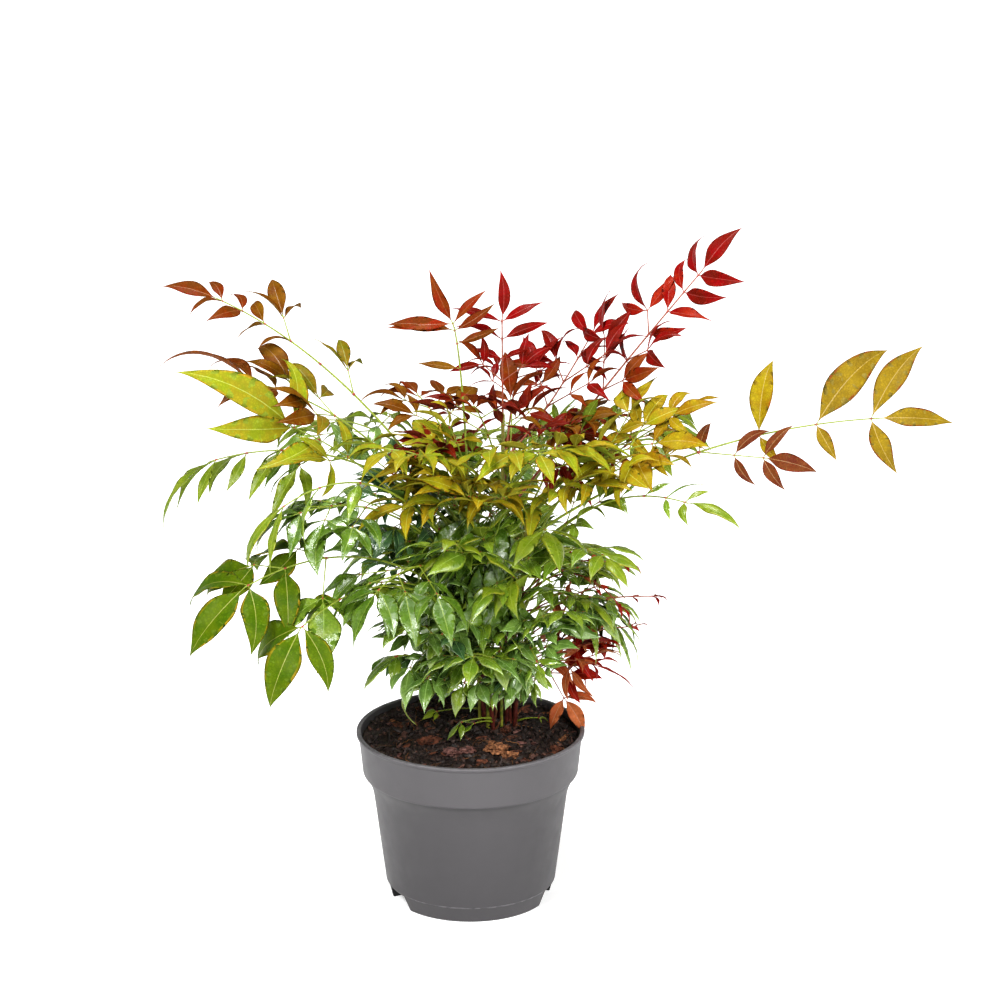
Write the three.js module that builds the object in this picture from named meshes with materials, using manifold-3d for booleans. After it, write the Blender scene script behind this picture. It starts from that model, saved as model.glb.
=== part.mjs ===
/**
 * Heavenly bamboo (Nandina domestica) in a round nursery pot.
 *
 * Millimetres, +Z up, +X to the right of the pot's front and +Y to its back. The origin is the
 * middle of the pot's flat underside. Each cane, leafstalk (bough) and mass of leaflets is one
 * closed solid in its own mesh. A compound leaf is called a frond here: its bare leafstalk is the
 * bough, and its axis with side stems (pinnae) and leaflets is the mass that grows on from it.
 */
import * as THREE from "three";
import { mergeVertices } from "three/addons/utils/BufferGeometryUtils.js";
import Module from "manifold-3d";

const wasm = await Module();
wasm.setup();

// ---------------------------------------------------------------- driving dimensions: pot

const POT = {
  height: 146,
  rimRadius: 95,
  lipDepth: 4,
  bandRadius: 90,
  bandFoot: 106,
  bodyTopRadius: 80.5,
  bodyTop: 95,
  bodyFootRadius: 71.5,
  wall: 1.8,
  footHeight: 14,
  footTopRadius: 69.5,
  footRadius: 65,
  floorTop: 16,
  padRadius: 22,
  padFloor: 2.4,
  sides: 32,
};
const FEET = { count: 3, gap: 20, turn: 5 };
const DRAIN = { count: 6, radius: 4.5, ring: 48, sides: 8 };

// ---------------------------------------------------------------- driving dimensions: compost

const COMPOST = { edgeHeight: 129, moundHeight: 134, moundRadius: 27, moundX: 22, moundY: 20, sides: 20 };
const CLEAR = 0.3;

// ---------------------------------------------------------------- driving dimensions: canes

// foot and head are [x, y] places of the cane's axis, head height is above the ground
const CANE = { footRadius: 2.7, headRadius: 1.9, flare: 1.4, flareHeight: 7, sides: 6, steps: 4 };
const CANES = {
  cane_west_tall: { foot: [12, 18], head: [0, 22], top: 352 },
  cane_west_back: { foot: [17, 28], head: [6, 38], top: 318 },
  cane_west_front: { foot: [20, 10], head: [10, 0], top: 270 },
  cane_east_tall: { foot: [31, 24], head: [27, 26], top: 412 },
  cane_east_front: { foot: [37, 16], head: [47, 10], top: 335 },
  cane_east_back: { foot: [29, 34], head: [40, 46], top: 300 },
};

// ---------------------------------------------------------------- driving dimensions: fronds

const STALK = { rootRadius: 1.6, tipRadius: 1.15, sides: 5, steps: 5 };
const RACHIS = { rootRadius: 1.2, tipRadius: 1, sides: 3 };
const PINNA = { rootRadius: 0.45, tipRadius: 0.6, sides: 3 };
const LEAF = { width: 0.3, widest: 0.4, thickness: 0.02, fold: 0.05, curl: 0.1, root: 0.05, endSink: 0.7 };
const INTERNODE = 0.82;
// share of a stem that its last pair of leaflets stands at; the end leaflet has the rest
const LAST_PAIR = 0.87;

// rise: height of the leafstalk on its cane; heading: degrees from +X towards +Y; reach: level
// distance from cane to frond tip; tip: height of that tip; climb: how steeply the stalk sets
// off; bare: share of the frond that is leafstalk; pairs: from stalk to tip, the number of
// leaflet pairs on each pinna of a pair, or [left, right], where 0 is one leaflet and -1 none;
// step: pinna length for each leaflet pair; leaf: leaflet length; baseLeaf: its share near the
// stalk; angle and leafAngle: how far pinnae and leaflets stand out; roll: turn of the blade
// about its axis; hang and lift: how far leaflets droop and pinnae rise; twist: unevenness.
const USUAL = {
  knee: 0.45, sway: 0, bare: 0.4, pairs: [2, 1, 0], step: 22, leaf: 38, baseLeaf: 0.85, angle: 58,
  leafAngle: 50, roll: 0, hang: 0.4, lift: -0.1, twist: 18, even: 0.86,
};
const FRONDS = {
  bronze_west: { cane: "cane_west_tall", rise: 300, heading: 175, reach: 208, tip: 504, climb: 154,
    bare: 0.34, pairs: [[-1, 1], 1, 0, 0, 0, 0], step: 26, leaf: 46, angle: 50, roll: -40, hang: 0.1,
    lift: 0.05, baseLeaf: 0.8, twist: 35, tint: "bronze" },
  russet_west: { cane: "cane_west_tall", rise: 285, heading: 187, reach: 172, tip: 462, climb: 140,
    bare: 0.55, pairs: [1, 0, 0], step: 24, leaf: 56, angle: 48, roll: -20, hang: 0.15, lift: 0,
    twist: 30, tint: "bronze" },
  lime_west: { cane: "cane_west_tall", rise: 262, heading: 195, reach: 175, tip: 432, climb: 130,
    bare: 0.55, pairs: [1, 0, 0], step: 24, leaf: 66, roll: -30, hang: 0.05, lift: 0.05, twist: 30,
    tint: "lime" },
  drooping_west: { cane: "cane_west_back", rise: 290, heading: 191, reach: 220, tip: 379, climb: 120,
    bare: 0.45, pairs: [1, 1, 0, 0], step: 30, leaf: 50, hang: 0.8, lift: -0.35, angle: 48,
    tint: "fresh" },
  fresh_southwest: { cane: "cane_west_front", rise: 262, heading: 204, reach: 160, tip: 352,
    climb: 110, bare: 0.45, step: 24, leaf: 46, hang: 0.5, lift: -0.2, tint: "fresh" },
  green_southwest: { cane: "cane_west_front", rise: 236, heading: 207, reach: 205, tip: 315,
    climb: 110, bare: 0.5, pairs: [1, 1, 0], step: 30, leaf: 66, hang: 0.45, lift: -0.3, roll: -25,
    baseLeaf: 0.7, tint: "green" },
  hanging_southwest: { cane: "cane_west_front", rise: 214, heading: 220, reach: 180, tip: 272,
    climb: 115, bare: 0.6, pairs: [0, 0], leaf: 66, hang: 0.7, baseLeaf: 0.7, tint: "green" },
  green_front_west: { cane: "cane_west_front", rise: 252, heading: 232, reach: 135, tip: 300,
    climb: 80, step: 24, leaf: 46, hang: 0.6, lift: -0.25, tint: "green" },
  scarlet_northeast: { cane: "cane_east_tall", rise: 325, heading: 13, reach: 165, tip: 522,
    climb: 95, bare: 0.38, pairs: [[2, 1], 1, 0, 0, 0], step: 20, leaf: 44, angle: 52, hang: -0.1,
    lift: 0.25, roll: 55, twist: 30, tint: "scarlet" },
  gold_east: { cane: "cane_east_front", rise: 308, heading: -4, reach: 284, tip: 416, climb: 92,
    bare: 0.36, pairs: [[0, 2], [1, 0], 0, 0, 0], even: 0.97, step: 28, leaf: 56, hang: 0.1,
    lift: 0.3, roll: 50, baseLeaf: 0.65, tint: "gold" },
  amber_east: { cane: "cane_east_front", rise: 330, heading: -24, reach: 108, tip: 412, climb: 60,
    pairs: [2, 1, 0], step: 20, leaf: 42, hang: 0.1, lift: 0.1, roll: 35, twist: 35,
    tint: "amber" },
  green_east: { cane: "cane_east_front", rise: 285, heading: -34, reach: 165, tip: 352, climb: 88,
    bare: 0.5, pairs: [1, 0, 0], step: 24, leaf: 48, hang: 0.2, roll: 20, tint: "fresh" },
  bronze_top: { cane: "cane_west_tall", rise: 345, heading: 102, reach: 22, tip: 488, climb: 70,
    bare: 0.3, pairs: [1, [1, 0], 0], leaf: 44, hang: 0, lift: 0.1, angle: 66, sway: 14,
    tint: "maroon" },
  crimson_top: { cane: "cane_east_tall", rise: 400, heading: 95, reach: 8, tip: 488, climb: 40,
    bare: 0.2, pairs: [1, 0, 0], step: 18, leaf: 36, hang: -0.3, lift: 0.5, tint: "crimson" },
  crimson_northeast: { cane: "cane_east_tall", rise: 372, heading: 48, reach: 85, tip: 460,
    climb: 55, bare: 0.3, pairs: [2, 1, 0], step: 18, leaf: 34, hang: -0.1, lift: 0.3, roll: 20,
    tint: "crimson" },
  green_southeast: { cane: "cane_east_front", rise: 255, heading: -58, reach: 120, tip: 325,
    climb: 75, hang: 0.35, lift: -0.15, tint: "green" },
  young_red_east: { cane: "cane_east_tall", rise: 262, heading: -3, reach: 135, tip: 268, climb: 22,
    bare: 0.62, pairs: [0, 0, 0], leaf: 14, hang: 0.3, tint: "scarlet" },
  low_green_east: { cane: "cane_east_front", rise: 225, heading: -18, reach: 75, tip: 262, climb: 45,
    bare: 0.35, pairs: [1, 1, 0], step: 18, leaf: 32, hang: 0.5, lift: -0.3, tint: "deep" },
  low_red_east: { cane: "cane_east_front", rise: 190, heading: -38, reach: 72, tip: 222, climb: 45,
    bare: 0.5, pairs: [1, 0], step: 18, leaf: 36, hang: 0.8, lift: -0.4, tint: "brick" },
  lime_front_west: { cane: "cane_west_tall", rise: 318, heading: 235, reach: 110, tip: 405,
    climb: 80, bare: 0.35, pairs: [2, 1, 0], leaf: 44, hang: 0.35, lift: -0.05, tint: "lime" },
  lime_front_east: { cane: "cane_east_tall", rise: 330, heading: 285, reach: 105, tip: 405,
    climb: 75, pairs: [2, 1, 0], leaf: 44, hang: 0.35, lift: -0.05, tint: "lime" },
  olive_centre: { cane: "cane_east_tall", rise: 345, heading: 248, reach: 62, tip: 432, climb: 60,
    bare: 0.3, step: 18, leaf: 34, hang: 0.2, lift: 0.1, twist: 30, tint: "maroon" },
  olive_east: { cane: "cane_east_tall", rise: 338, heading: -12, reach: 75, tip: 420, climb: 62,
    bare: 0.3, step: 18, leaf: 36, hang: 0.2, lift: 0.1, twist: 30, tint: "maroon" },
  mid_green_west: { cane: "cane_west_front", rise: 225, heading: 212, reach: 100, tip: 290,
    climb: 62, bare: 0.3, pairs: [1, 1, 0], step: 20, leaf: 36, twist: 30, tint: "green" },
  mid_green_front: { cane: "cane_west_front", rise: 242, heading: 255, reach: 85, tip: 332,
    climb: 65, bare: 0.3, step: 20, leaf: 36, twist: 30, tint: "green" },
  mid_green_east: { cane: "cane_east_front", rise: 268, heading: 282, reach: 80, tip: 340,
    climb: 60, bare: 0.3, step: 20, leaf: 36, twist: 30, tint: "green" },
  glossy_front_west: { cane: "cane_west_front", rise: 190, heading: 225, reach: 90, tip: 255,
    climb: 60, bare: 0.35, pairs: [2, 1, 0], step: 18, leaf: 32, lift: -0.15, tint: "deep" },
  glossy_front: { cane: "cane_west_front", rise: 175, heading: 262, reach: 95, tip: 240,
    climb: 60, bare: 0.35, pairs: [2, 1, 0], step: 18, leaf: 32, lift: -0.15, tint: "deep" },
  glossy_front_east: { cane: "cane_east_front", rise: 205, heading: 295, reach: 85, tip: 270,
    climb: 55, bare: 0.35, pairs: [2, 1, 0], step: 18, leaf: 32, lift: -0.15, tint: "deep" },
  low_west: { cane: "cane_west_front", rise: 163, heading: 203, reach: 85, tip: 218, climb: 58,
    bare: 0.35, step: 18, leaf: 36, hang: 0.8, lift: -0.3, tint: "deep" },
  bronze_north: { cane: "cane_west_tall", rise: 335, heading: 118, reach: 95, tip: 405, climb: 60,
    bare: 0.35, pairs: [1, 1, 0], leaf: 40, hang: 0.2, lift: 0.1, tint: "bronze" },
  crimson_north: { cane: "cane_east_tall", rise: 355, heading: 82, reach: 100, tip: 440, climb: 70,
    bare: 0.35, pairs: [1, 1, 0], leaf: 38, hang: 0.1, lift: 0.2, tint: "crimson" },
  back_west: { cane: "cane_west_back", rise: 300, heading: 140, reach: 190, tip: 368, climb: 100,
    pairs: [2, 1, 0], step: 24, leaf: 44, tint: "fresh" },
  back_north: { cane: "cane_east_back", rise: 285, heading: 92, reach: 190, tip: 340, climb: 95,
    pairs: [2, 1, 0], step: 24, leaf: 44, tint: "fresh" },
  back_east: { cane: "cane_east_back", rise: 265, heading: 46, reach: 180, tip: 375, climb: 105,
    pairs: [2, 1, 0], step: 24, leaf: 44, tint: "fresh" },
  back_low_west: { cane: "cane_west_back", rise: 225, heading: 127, reach: 140, tip: 270, climb: 70,
    bare: 0.35, leaf: 42, hang: 0.5, lift: -0.2, tint: "green" },
  back_low_east: { cane: "cane_east_back", rise: 205, heading: 62, reach: 130, tip: 260, climb: 70,
    bare: 0.35, leaf: 42, hang: 0.5, lift: -0.2, tint: "green" },
};
// a frond that reaches further than this has a leafstalk of its own; a shorter one sits on its cane
const LONG_REACH = 136;
const FIRST_SEED = 11;
const SEED_STEP = 7;

// ---------------------------------------------------------------- colours

const FINISH = {
  pot: { color: 0x66656a, roughness: 0.55 },
  compost: { color: 0x2e1d16, roughness: 1 },
  cane: { color: 0x7a3b2a, roughness: 0.7 },
  stalk: { color: 0x8a8a3a, roughness: 0.6 },
  bronze: { color: 0x8a4a2c, roughness: 0.45 },
  lime: { color: 0x9dbb3e, roughness: 0.45 },
  fresh: { color: 0x6aa63c, roughness: 0.45 },
  green: { color: 0x2f7d33, roughness: 0.4 },
  deep: { color: 0x1f5f34, roughness: 0.35 },
  maroon: { color: 0x6b2b26, roughness: 0.45 },
  crimson: { color: 0xa5122c, roughness: 0.45 },
  scarlet: { color: 0xb81f2e, roughness: 0.45 },
  gold: { color: 0xc0a53c, roughness: 0.45 },
  amber: { color: 0xa59a3a, roughness: 0.45 },
  brick: { color: 0xb04a3c, roughness: 0.45 },
};

// ---------------------------------------------------------------- solids

const { Manifold, Mesh: SolidMesh } = wasm;
const SHORTEST_EDGE = 0.01;

/** A closed three.js geometry as a solid: shared corners merged, empty faces left out. */
function solidOf(geometry) {
  geometry.deleteAttribute("normal");
  geometry.deleteAttribute("uv");
  const merged = mergeVertices(geometry);
  const corners = merged.index.array;
  const faces = [];
  for (let i = 0; i < corners.length; i += 3) {
    const [a, b, c] = corners.subarray(i, i + 3);
    if (a !== b && b !== c && c !== a) {
      faces.push(a, b, c);
    }
  }
  const vertProperties = new Float32Array(merged.attributes.position.array);
  const triVerts = new Uint32Array(faces);
  return new Manifold(new SolidMesh({ numProp: 3, vertProperties, triVerts }));
}

/** The largest single body of a solid, without hair-thin edges, as a named mesh with its finish. */
function meshOf(name, solid, finish) {
  const bodies = solid.simplify(SHORTEST_EDGE).decompose().sort((a, b) => b.volume() - a.volume());
  const shape = bodies[0].getMesh();
  const geometry = new THREE.BufferGeometry();
  geometry.setAttribute("position", new THREE.BufferAttribute(shape.vertProperties, shape.numProp));
  geometry.setIndex(new THREE.BufferAttribute(shape.triVerts, 1));
  geometry.computeVertexNormals();
  const material = new THREE.MeshStandardMaterial({ ...FINISH[finish], metalness: 0 });
  const mesh = new THREE.Mesh(geometry, material);
  mesh.name = name;
  return mesh;
}

/** A profile of [radius, height] points turned about the Z axis. */
function turned(profile, sides) {
  const geometry = new THREE.LatheGeometry(profile.map(([r, z]) => new THREE.Vector2(r, z)), sides);
  return geometry.rotateX(Math.PI / 2);
}

// ---------------------------------------------------------------- pot and compost

/** Inner radius of the pot's wall at a height above the floor. */
function innerRadius(height) {
  const share = (height - POT.floorTop) / (POT.bodyTop - POT.floorTop);
  const outer = POT.bodyFootRadius + (POT.bodyTopRadius - POT.bodyFootRadius) * Math.min(share, 1);
  return outer - POT.wall;
}

/** Outer profile from the foot up, over the lip, and down the inside to the floor. */
function potProfile() {
  const shoulder = POT.bandFoot - 4;
  const lip = POT.height - POT.lipDepth;
  const bandTopRadius = POT.rimRadius - 2;
  return [
    [0, 0],
    [POT.padRadius, 0],
    [POT.padRadius + 2, POT.footHeight],
    [POT.footTopRadius - 5, POT.footHeight],
    [POT.footRadius - POT.wall, 0],
    [POT.footRadius, 0],
    [POT.footTopRadius, POT.footHeight],
    [POT.bodyFootRadius, POT.footHeight],
    [POT.bodyTopRadius, POT.bodyTop],
    [POT.bandRadius - 2, shoulder],
    [POT.bandRadius, POT.bandFoot],
    [bandTopRadius, lip],
    [POT.rimRadius, lip + 0.6],
    [POT.rimRadius, POT.height],
    [bandTopRadius - POT.wall, POT.height],
    [POT.bandRadius - POT.wall, POT.bandFoot],
    [POT.bodyTopRadius - POT.wall, POT.bodyTop],
    [innerRadius(POT.floorTop), POT.floorTop],
    [POT.padRadius, POT.floorTop],
    [POT.padRadius - 2, POT.padFloor],
    [0, POT.padFloor],
  ];
}

/** A radial bar that cuts one gap between two feet. */
function footGap(index) {
  const width = 2 * POT.footRadius * Math.sin(THREE.MathUtils.degToRad(FEET.gap / 2));
  const bar = new THREE.BoxGeometry(40, width, 2 * POT.footHeight);
  bar.translate(POT.footRadius, 0, 0);
  const turn = 360 / FEET.count * (index + 0.5) - 90 + FEET.turn;
  return solidOf(bar.rotateZ(THREE.MathUtils.degToRad(turn)));
}

/** One drainage hole through the pot's floor. */
function drainHole(index) {
  const hole = new THREE.CylinderGeometry(DRAIN.radius, DRAIN.radius, 12, DRAIN.sides);
  hole.rotateX(Math.PI / 2);
  hole.translate(DRAIN.ring, 0, POT.footHeight);
  return solidOf(hole.rotateZ(2 * Math.PI * (index + 0.5) / DRAIN.count));
}

function makePot() {
  let pot = solidOf(turned(potProfile(), POT.sides));
  for (let index = 0; index < FEET.count; index += 1) {
    pot = pot.subtract(footGap(index));
  }
  for (let index = 0; index < DRAIN.count; index += 1) {
    pot = pot.subtract(drainHole(index));
  }
  return meshOf("pot", pot, "pot");
}

/** Compost fills the pot and rises in a low mound with a flat top under the canes. */
function makeCompost() {
  const floor = POT.floorTop + CLEAR;
  const slopeRadius = POT.bandRadius - 14;
  const profile = [
    [0, floor],
    [innerRadius(floor) - CLEAR - 0.2, floor],
    [POT.bodyTopRadius - POT.wall - CLEAR - 0.2, POT.bodyTop],
    [POT.bandRadius - POT.wall - CLEAR - 0.5, POT.bandFoot + 1],
    [POT.bandRadius - POT.wall - CLEAR + 0.5, COMPOST.edgeHeight],
    [slopeRadius, COMPOST.edgeHeight + 1.2],
    [COMPOST.moundRadius + 14, COMPOST.moundHeight - 1.2],
    [COMPOST.moundRadius, COMPOST.moundHeight],
    [0, COMPOST.moundHeight],
  ];
  const geometry = turned(profile, COMPOST.sides);
  const place = geometry.attributes.position;
  for (let i = 0; i < place.count; i += 1) {
    const share = THREE.MathUtils.smoothstep(place.getZ(i), COMPOST.edgeHeight, COMPOST.moundHeight);
    place.setX(i, place.getX(i) + COMPOST.moundX * share);
    place.setY(i, place.getY(i) + COMPOST.moundY * share);
  }
  return meshOf("compost", solidOf(geometry), "compost");
}

// ---------------------------------------------------------------- limbs

/**
 * A limb along a path: a cylinder whose rings are set across the path at the given shares, with
 * its radius from a function of the share of the limb's own rings. The path gives a point and a
 * direction for each share.
 */
function limbSolid(path, shares, radiusAt, sides) {
  const steps = shares.length - 1;
  const geometry = new THREE.CylinderGeometry(1, 1, 1, sides, steps);
  const place = geometry.attributes.position;
  const from = shares[0];
  const whole = shares[steps] - from;
  for (let i = 0; i < place.count; i += 1) {
    const share = shares[Math.round((place.getY(i) + 0.5) * steps)];
    const { point, way, side } = path(share);
    const radius = radiusAt((share - from) / whole);
    const across = new THREE.Vector3().crossVectors(side, way);
    point.addScaledVector(side, place.getX(i) * radius);
    point.addScaledVector(across, place.getZ(i) * radius);
    place.setXYZ(i, point.x, point.y, point.z);
  }
  return solidOf(geometry);
}

const tapered = (root, tip) => (share) => root + (tip - root) * share;

/** Evenly spaced shares from one to the other, both included. */
function evenShares(steps, from = 0, to = 1) {
  return Array.from({ length: steps + 1 }, (_, index) => THREE.MathUtils.lerp(from, to, index / steps));
}

/** Place of a cane's axis at a height above the ground. */
function caneAxis(cane, height) {
  const foot = COMPOST.moundHeight;
  const share = (height - foot) / (cane.top - foot);
  return new THREE.Vector3(
    THREE.MathUtils.lerp(cane.foot[0], cane.head[0], share),
    THREE.MathUtils.lerp(cane.foot[1], cane.head[1], share),
    height,
  );
}

/** A cane: flared a little at its flat foot, with a blunt tip. grown widens it all round. */
function caneSolid(cane, grown = 0) {
  const foot = COMPOST.moundHeight + CLEAR - grown;
  const length = cane.top - foot;
  const side = new THREE.Vector3(1, 0, 0);
  const way = new THREE.Vector3(0, 0, 1);
  const path = (share) => ({ point: caneAxis(cane, foot + length * share), way, side });
  const radiusAt = (share) => {
    const flare = CANE.flare * Math.max(0, 1 - share * length / CANE.flareHeight);
    return tapered(CANE.footRadius, CANE.headRadius)(share) + flare + grown;
  };
  return limbSolid(path, evenShares(CANE.steps), radiusAt, CANE.sides);
}

// ---------------------------------------------------------------- the growing rule

/** The same row of draws between 0 and 1 for the same seed. */
function drawsFrom(seed) {
  let state = seed;
  return () => {
    state = (Math.imul(state, 1664525) + 1013904223) >>> 0;
    return state / 4294967296;
  };
}

/** A bent path through three control points, with a side direction kept level to its heading. */
function bentPath(start, knee, end, level) {
  const curve = new THREE.QuadraticBezierCurve3(start, knee, end);
  return (share) => {
    const point = curve.getPoint(share);
    const way = curve.getTangent(share).normalize();
    const side = level.clone().addScaledVector(way, -level.dot(way)).normalize();
    return { point, way, side };
  };
}

/** Share of a stem's leafy length at each of its nodes, the gaps shrinking towards the tip. */
function nodeShares(count, even) {
  const whole = (1 - even ** count) / LAST_PAIR;
  return Array.from({ length: count }, (_, index) => (1 - even ** (index + 1)) / whole);
}

/** Leaflet: a base point, the way it points, its upper side and its length. */
function leaflet(frond, swing, base, way, normal, length) {
  const out = way.clone();
  out.z -= frond.hang + swing(0.12);
  out.normalize();
  const upper = normal.clone().addScaledVector(out, -normal.dot(out)).normalize();
  upper.applyAxisAngle(out, THREE.MathUtils.degToRad(swing(frond.twist)));
  return { base, way: out, normal: upper, length: length * (1 + swing(0.13)) };
}

/** The leaflet that goes on from a stem's end, its root sunk into that end. */
function endLeaflet(frond, swing, end, normal, length) {
  const base = end.point.clone().addScaledVector(end.way, -LEAF.endSink);
  return leaflet(frond, swing, base, end.way, normal, length);
}

/** A direction in the blade, turned from the stem's way towards its side. */
function fanned(way, side, degrees, hand) {
  const angle = THREE.MathUtils.degToRad(degrees);
  const out = way.clone().multiplyScalar(Math.cos(angle));
  return out.addScaledVector(side, hand * Math.sin(angle)).normalize();
}

/** A pinna: its own stem with pairs of leaflets and one leaflet at its end. */
function pinna(frond, swing, base, way, normal, count, size) {
  const length = frond.step * count * (1 + swing(0.08));
  const end = base.clone().addScaledVector(way, length);
  end.z += frond.lift * length;
  const middle = base.clone().lerp(end, 0.5);
  const path = bentPath(base, middle, end, new THREE.Vector3().crossVectors(normal, way));
  const leaflets = [];
  const nodes = nodeShares(count, INTERNODE);
  for (const share of nodes) {
    const node = path(share);
    for (const hand of [1, -1]) {
      const out = fanned(node.way, node.side, frond.leafAngle + swing(7), hand);
      leaflets.push(leaflet(frond, swing, node.point, out, normal, size * (0.72 + 0.2 * share)));
    }
  }
  leaflets.push(endLeaflet(frond, swing, path(1), normal, size * 1.12));
  return { path, leaflets };
}

/** A frond: its bent axis, its pinnae and the leaflets that sit straight on the axis. */
function growFrond(given, seed) {
  const frond = { ...USUAL, ...given };
  const draw = drawsFrom(seed);
  const swing = (most) => (draw() - 0.5) * 2 * most;
  const heading = THREE.MathUtils.degToRad(frond.heading);
  const out = new THREE.Vector3(Math.cos(heading), Math.sin(heading), 0);
  const left = new THREE.Vector3(-out.y, out.x, 0);
  const root = caneAxis(CANES[frond.cane], frond.rise).addScaledVector(out, 1.5);
  const tip = root.clone().addScaledVector(out, frond.reach).setZ(frond.tip);
  const knee = root.clone().addScaledVector(out, frond.reach * frond.knee);
  knee.addScaledVector(left, frond.sway).setZ(frond.rise + frond.climb);
  const path = bentPath(root, knee, tip, left);
  const count = frond.pairs.length;
  const pinnae = [];
  const leaflets = [];
  let normal = null;
  const nodes = nodeShares(count, frond.even).map((share) => frond.bare + (1 - frond.bare) * share);
  nodes.forEach((share, index) => {
    const node = path(share);
    const turn = THREE.MathUtils.degToRad(frond.roll);
    const side = node.side.clone().applyAxisAngle(node.way, turn);
    normal = new THREE.Vector3().crossVectors(node.way, node.side).applyAxisAngle(node.way, turn);
    const grown = (index + 1) / count;
    for (const hand of [1, -1]) {
      const pair = [frond.pairs[index]].flat();
      const leafPairs = hand === 1 ? pair[0] : pair[pair.length - 1];
      if (leafPairs < 0) {
        continue;
      }
      const way = fanned(node.way, side, frond.angle + swing(6), hand);
      if (leafPairs === 0) {
        const size = frond.leaf * THREE.MathUtils.lerp(frond.baseLeaf, 0.95, grown);
        leaflets.push(leaflet(frond, swing, node.point, way, normal, size));
      } else {
        const size = frond.leaf * THREE.MathUtils.lerp(frond.baseLeaf, 1, grown);
        pinnae.push(pinna(frond, swing, node.point, way, normal, leafPairs, size));
      }
    }
  });
  leaflets.push(endLeaflet(frond, swing, path(1), normal, frond.leaf * 1.2));
  return { frond, path, nodes, pinnae, leaflets };
}

// ---------------------------------------------------------------- leaflets and masses

/**
 * A leaflet of eight faces: root, tip, two edge points and a point above and below the midrib.
 * The edges stand above the midrib in a shallow fold and the tip curls down. trim leaves out a
 * share at the root, for testing the blade alone.
 */
function leafSolid({ base, way, normal, length }, trim = 0) {
  const geometry = new THREE.OctahedronGeometry(1);
  const place = geometry.attributes.position;
  const side = new THREE.Vector3().crossVectors(normal, way);
  const root = trim > 0 ? trim * length : LEAF.root;
  for (let i = 0; i < place.count; i += 1) {
    const [end, edge, face] = [place.getX(i), place.getY(i), place.getZ(i)].map(Math.round);
    const along = [root, LEAF.widest * length, length][end + 1];
    const rise = length * (face * LEAF.thickness / 2 + Math.abs(edge) * LEAF.fold);
    const drop = end === 1 ? LEAF.curl * length : 0;
    const point = base.clone().addScaledVector(way, along);
    point.addScaledVector(side, edge * LEAF.width * length / 2);
    point.addScaledVector(normal, rise);
    place.setXYZ(i, point.x, point.y, point.z - drop);
  }
  return solidOf(geometry);
}

/** True where two boxes come within a distance of each other. */
function boxesMeet(one, other, distance) {
  return [0, 1, 2].every((k) => one.min[k] - distance < other.max[k] && other.min[k] - distance < one.max[k]);
}

/** Solids that have their place, each with the name of the node it belongs to. */
const placed = [];

function settle(owner, solid) {
  placed.push({ owner, solid, box: solid.boundingBox() });
}

/** True where a solid keeps clear of every placed solid of the other nodes. */
function isClear(owner, solid) {
  const box = solid.boundingBox();
  const near = placed.filter((item) => item.owner !== owner && boxesMeet(box, item.box, CLEAR));
  return near.every((item) => solid.minGap(item.solid, 2 * CLEAR) > CLEAR);
}

/** True where a leaflet's blade crosses no other leaflet or stem of its own mass. */
function bladeIsFree(blade, others) {
  const box = blade.boundingBox();
  return others.every((other) => !boxesMeet(box, other.boundingBox(), 0)
    || blade.intersect(other).isEmpty());
}

/** Leaflets of one stem that have room, each fused later by its sunk root. */
function addLeaflets(owner, leaflets, pieces, stem) {
  for (const each of leaflets) {
    const solid = leafSolid(each);
    const others = pieces.filter((piece) => piece !== stem);
    if (isClear(owner, solid) && bladeIsFree(leafSolid(each, 0.3), others)) {
      settle(owner, solid);
      pieces.push(solid);
    }
  }
}

/** A mass of foliage: the frond's axis, the pinnae that have room, and their leaflets. */
function makeMass(name, grown, rachis) {
  const pieces = [rachis];
  const radiusAt = tapered(PINNA.rootRadius, PINNA.tipRadius);
  for (const { path, leaflets } of grown.pinnae) {
    const stem = limbSolid(path, [0, 1], radiusAt, PINNA.sides);
    if (isClear(name, stem)) {
      settle(name, stem);
      pieces.push(stem);
      addLeaflets(name, leaflets, pieces, stem);
    }
  }
  addLeaflets(name, grown.leaflets, pieces, rachis);
  return meshOf(name, Manifold.union(pieces), grown.frond.tint);
}

// ---------------------------------------------------------------- the whole plant

const plant = new THREE.Group();
plant.add(makePot(), makeCompost());

for (const [name, cane] of Object.entries(CANES)) {
  const solid = caneSolid(cane);
  settle(name, solid);
  plant.add(meshOf(name, solid, "cane"));
}

const fronds = Object.entries(FRONDS).map(([name, given], index) => (
  { name, grown: growFrond(given, FIRST_SEED + SEED_STEP * index) }
));

// leafstalks and frond axes take their places before any leaflet
for (const each of fronds) {
  const { frond, path, nodes } = each.grown;
  const cutter = caneSolid(CANES[frond.cane], CLEAR);
  let start = 0;
  if (frond.reach > LONG_REACH) {
    const radiusAt = tapered(STALK.rootRadius, STALK.tipRadius);
    const shares = evenShares(STALK.steps, 0, frond.bare);
    const stalk = limbSolid(path, shares, radiusAt, STALK.sides).subtract(cutter);
    settle(`bough_${each.name}`, stalk);
    plant.add(meshOf(`bough_${each.name}`, stalk, "stalk"));
    start = frond.bare + 1.2 * CLEAR / frond.reach;
  }
  const radiusAt = tapered(RACHIS.rootRadius, RACHIS.tipRadius);
  const bends = start > 0 ? 1 : 2;
  const shares = [...evenShares(bends, start, nodes[0]), ...nodes.slice(1), 1];
  each.rachis = limbSolid(path, shares, radiusAt, RACHIS.sides).subtract(cutter);
  settle(`foliage_${each.name}`, each.rachis);
}

for (const { name, grown, rachis } of fronds) {
  plant.add(makeMass(`foliage_${name}`, grown, rachis));
}

export default plant;
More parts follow.
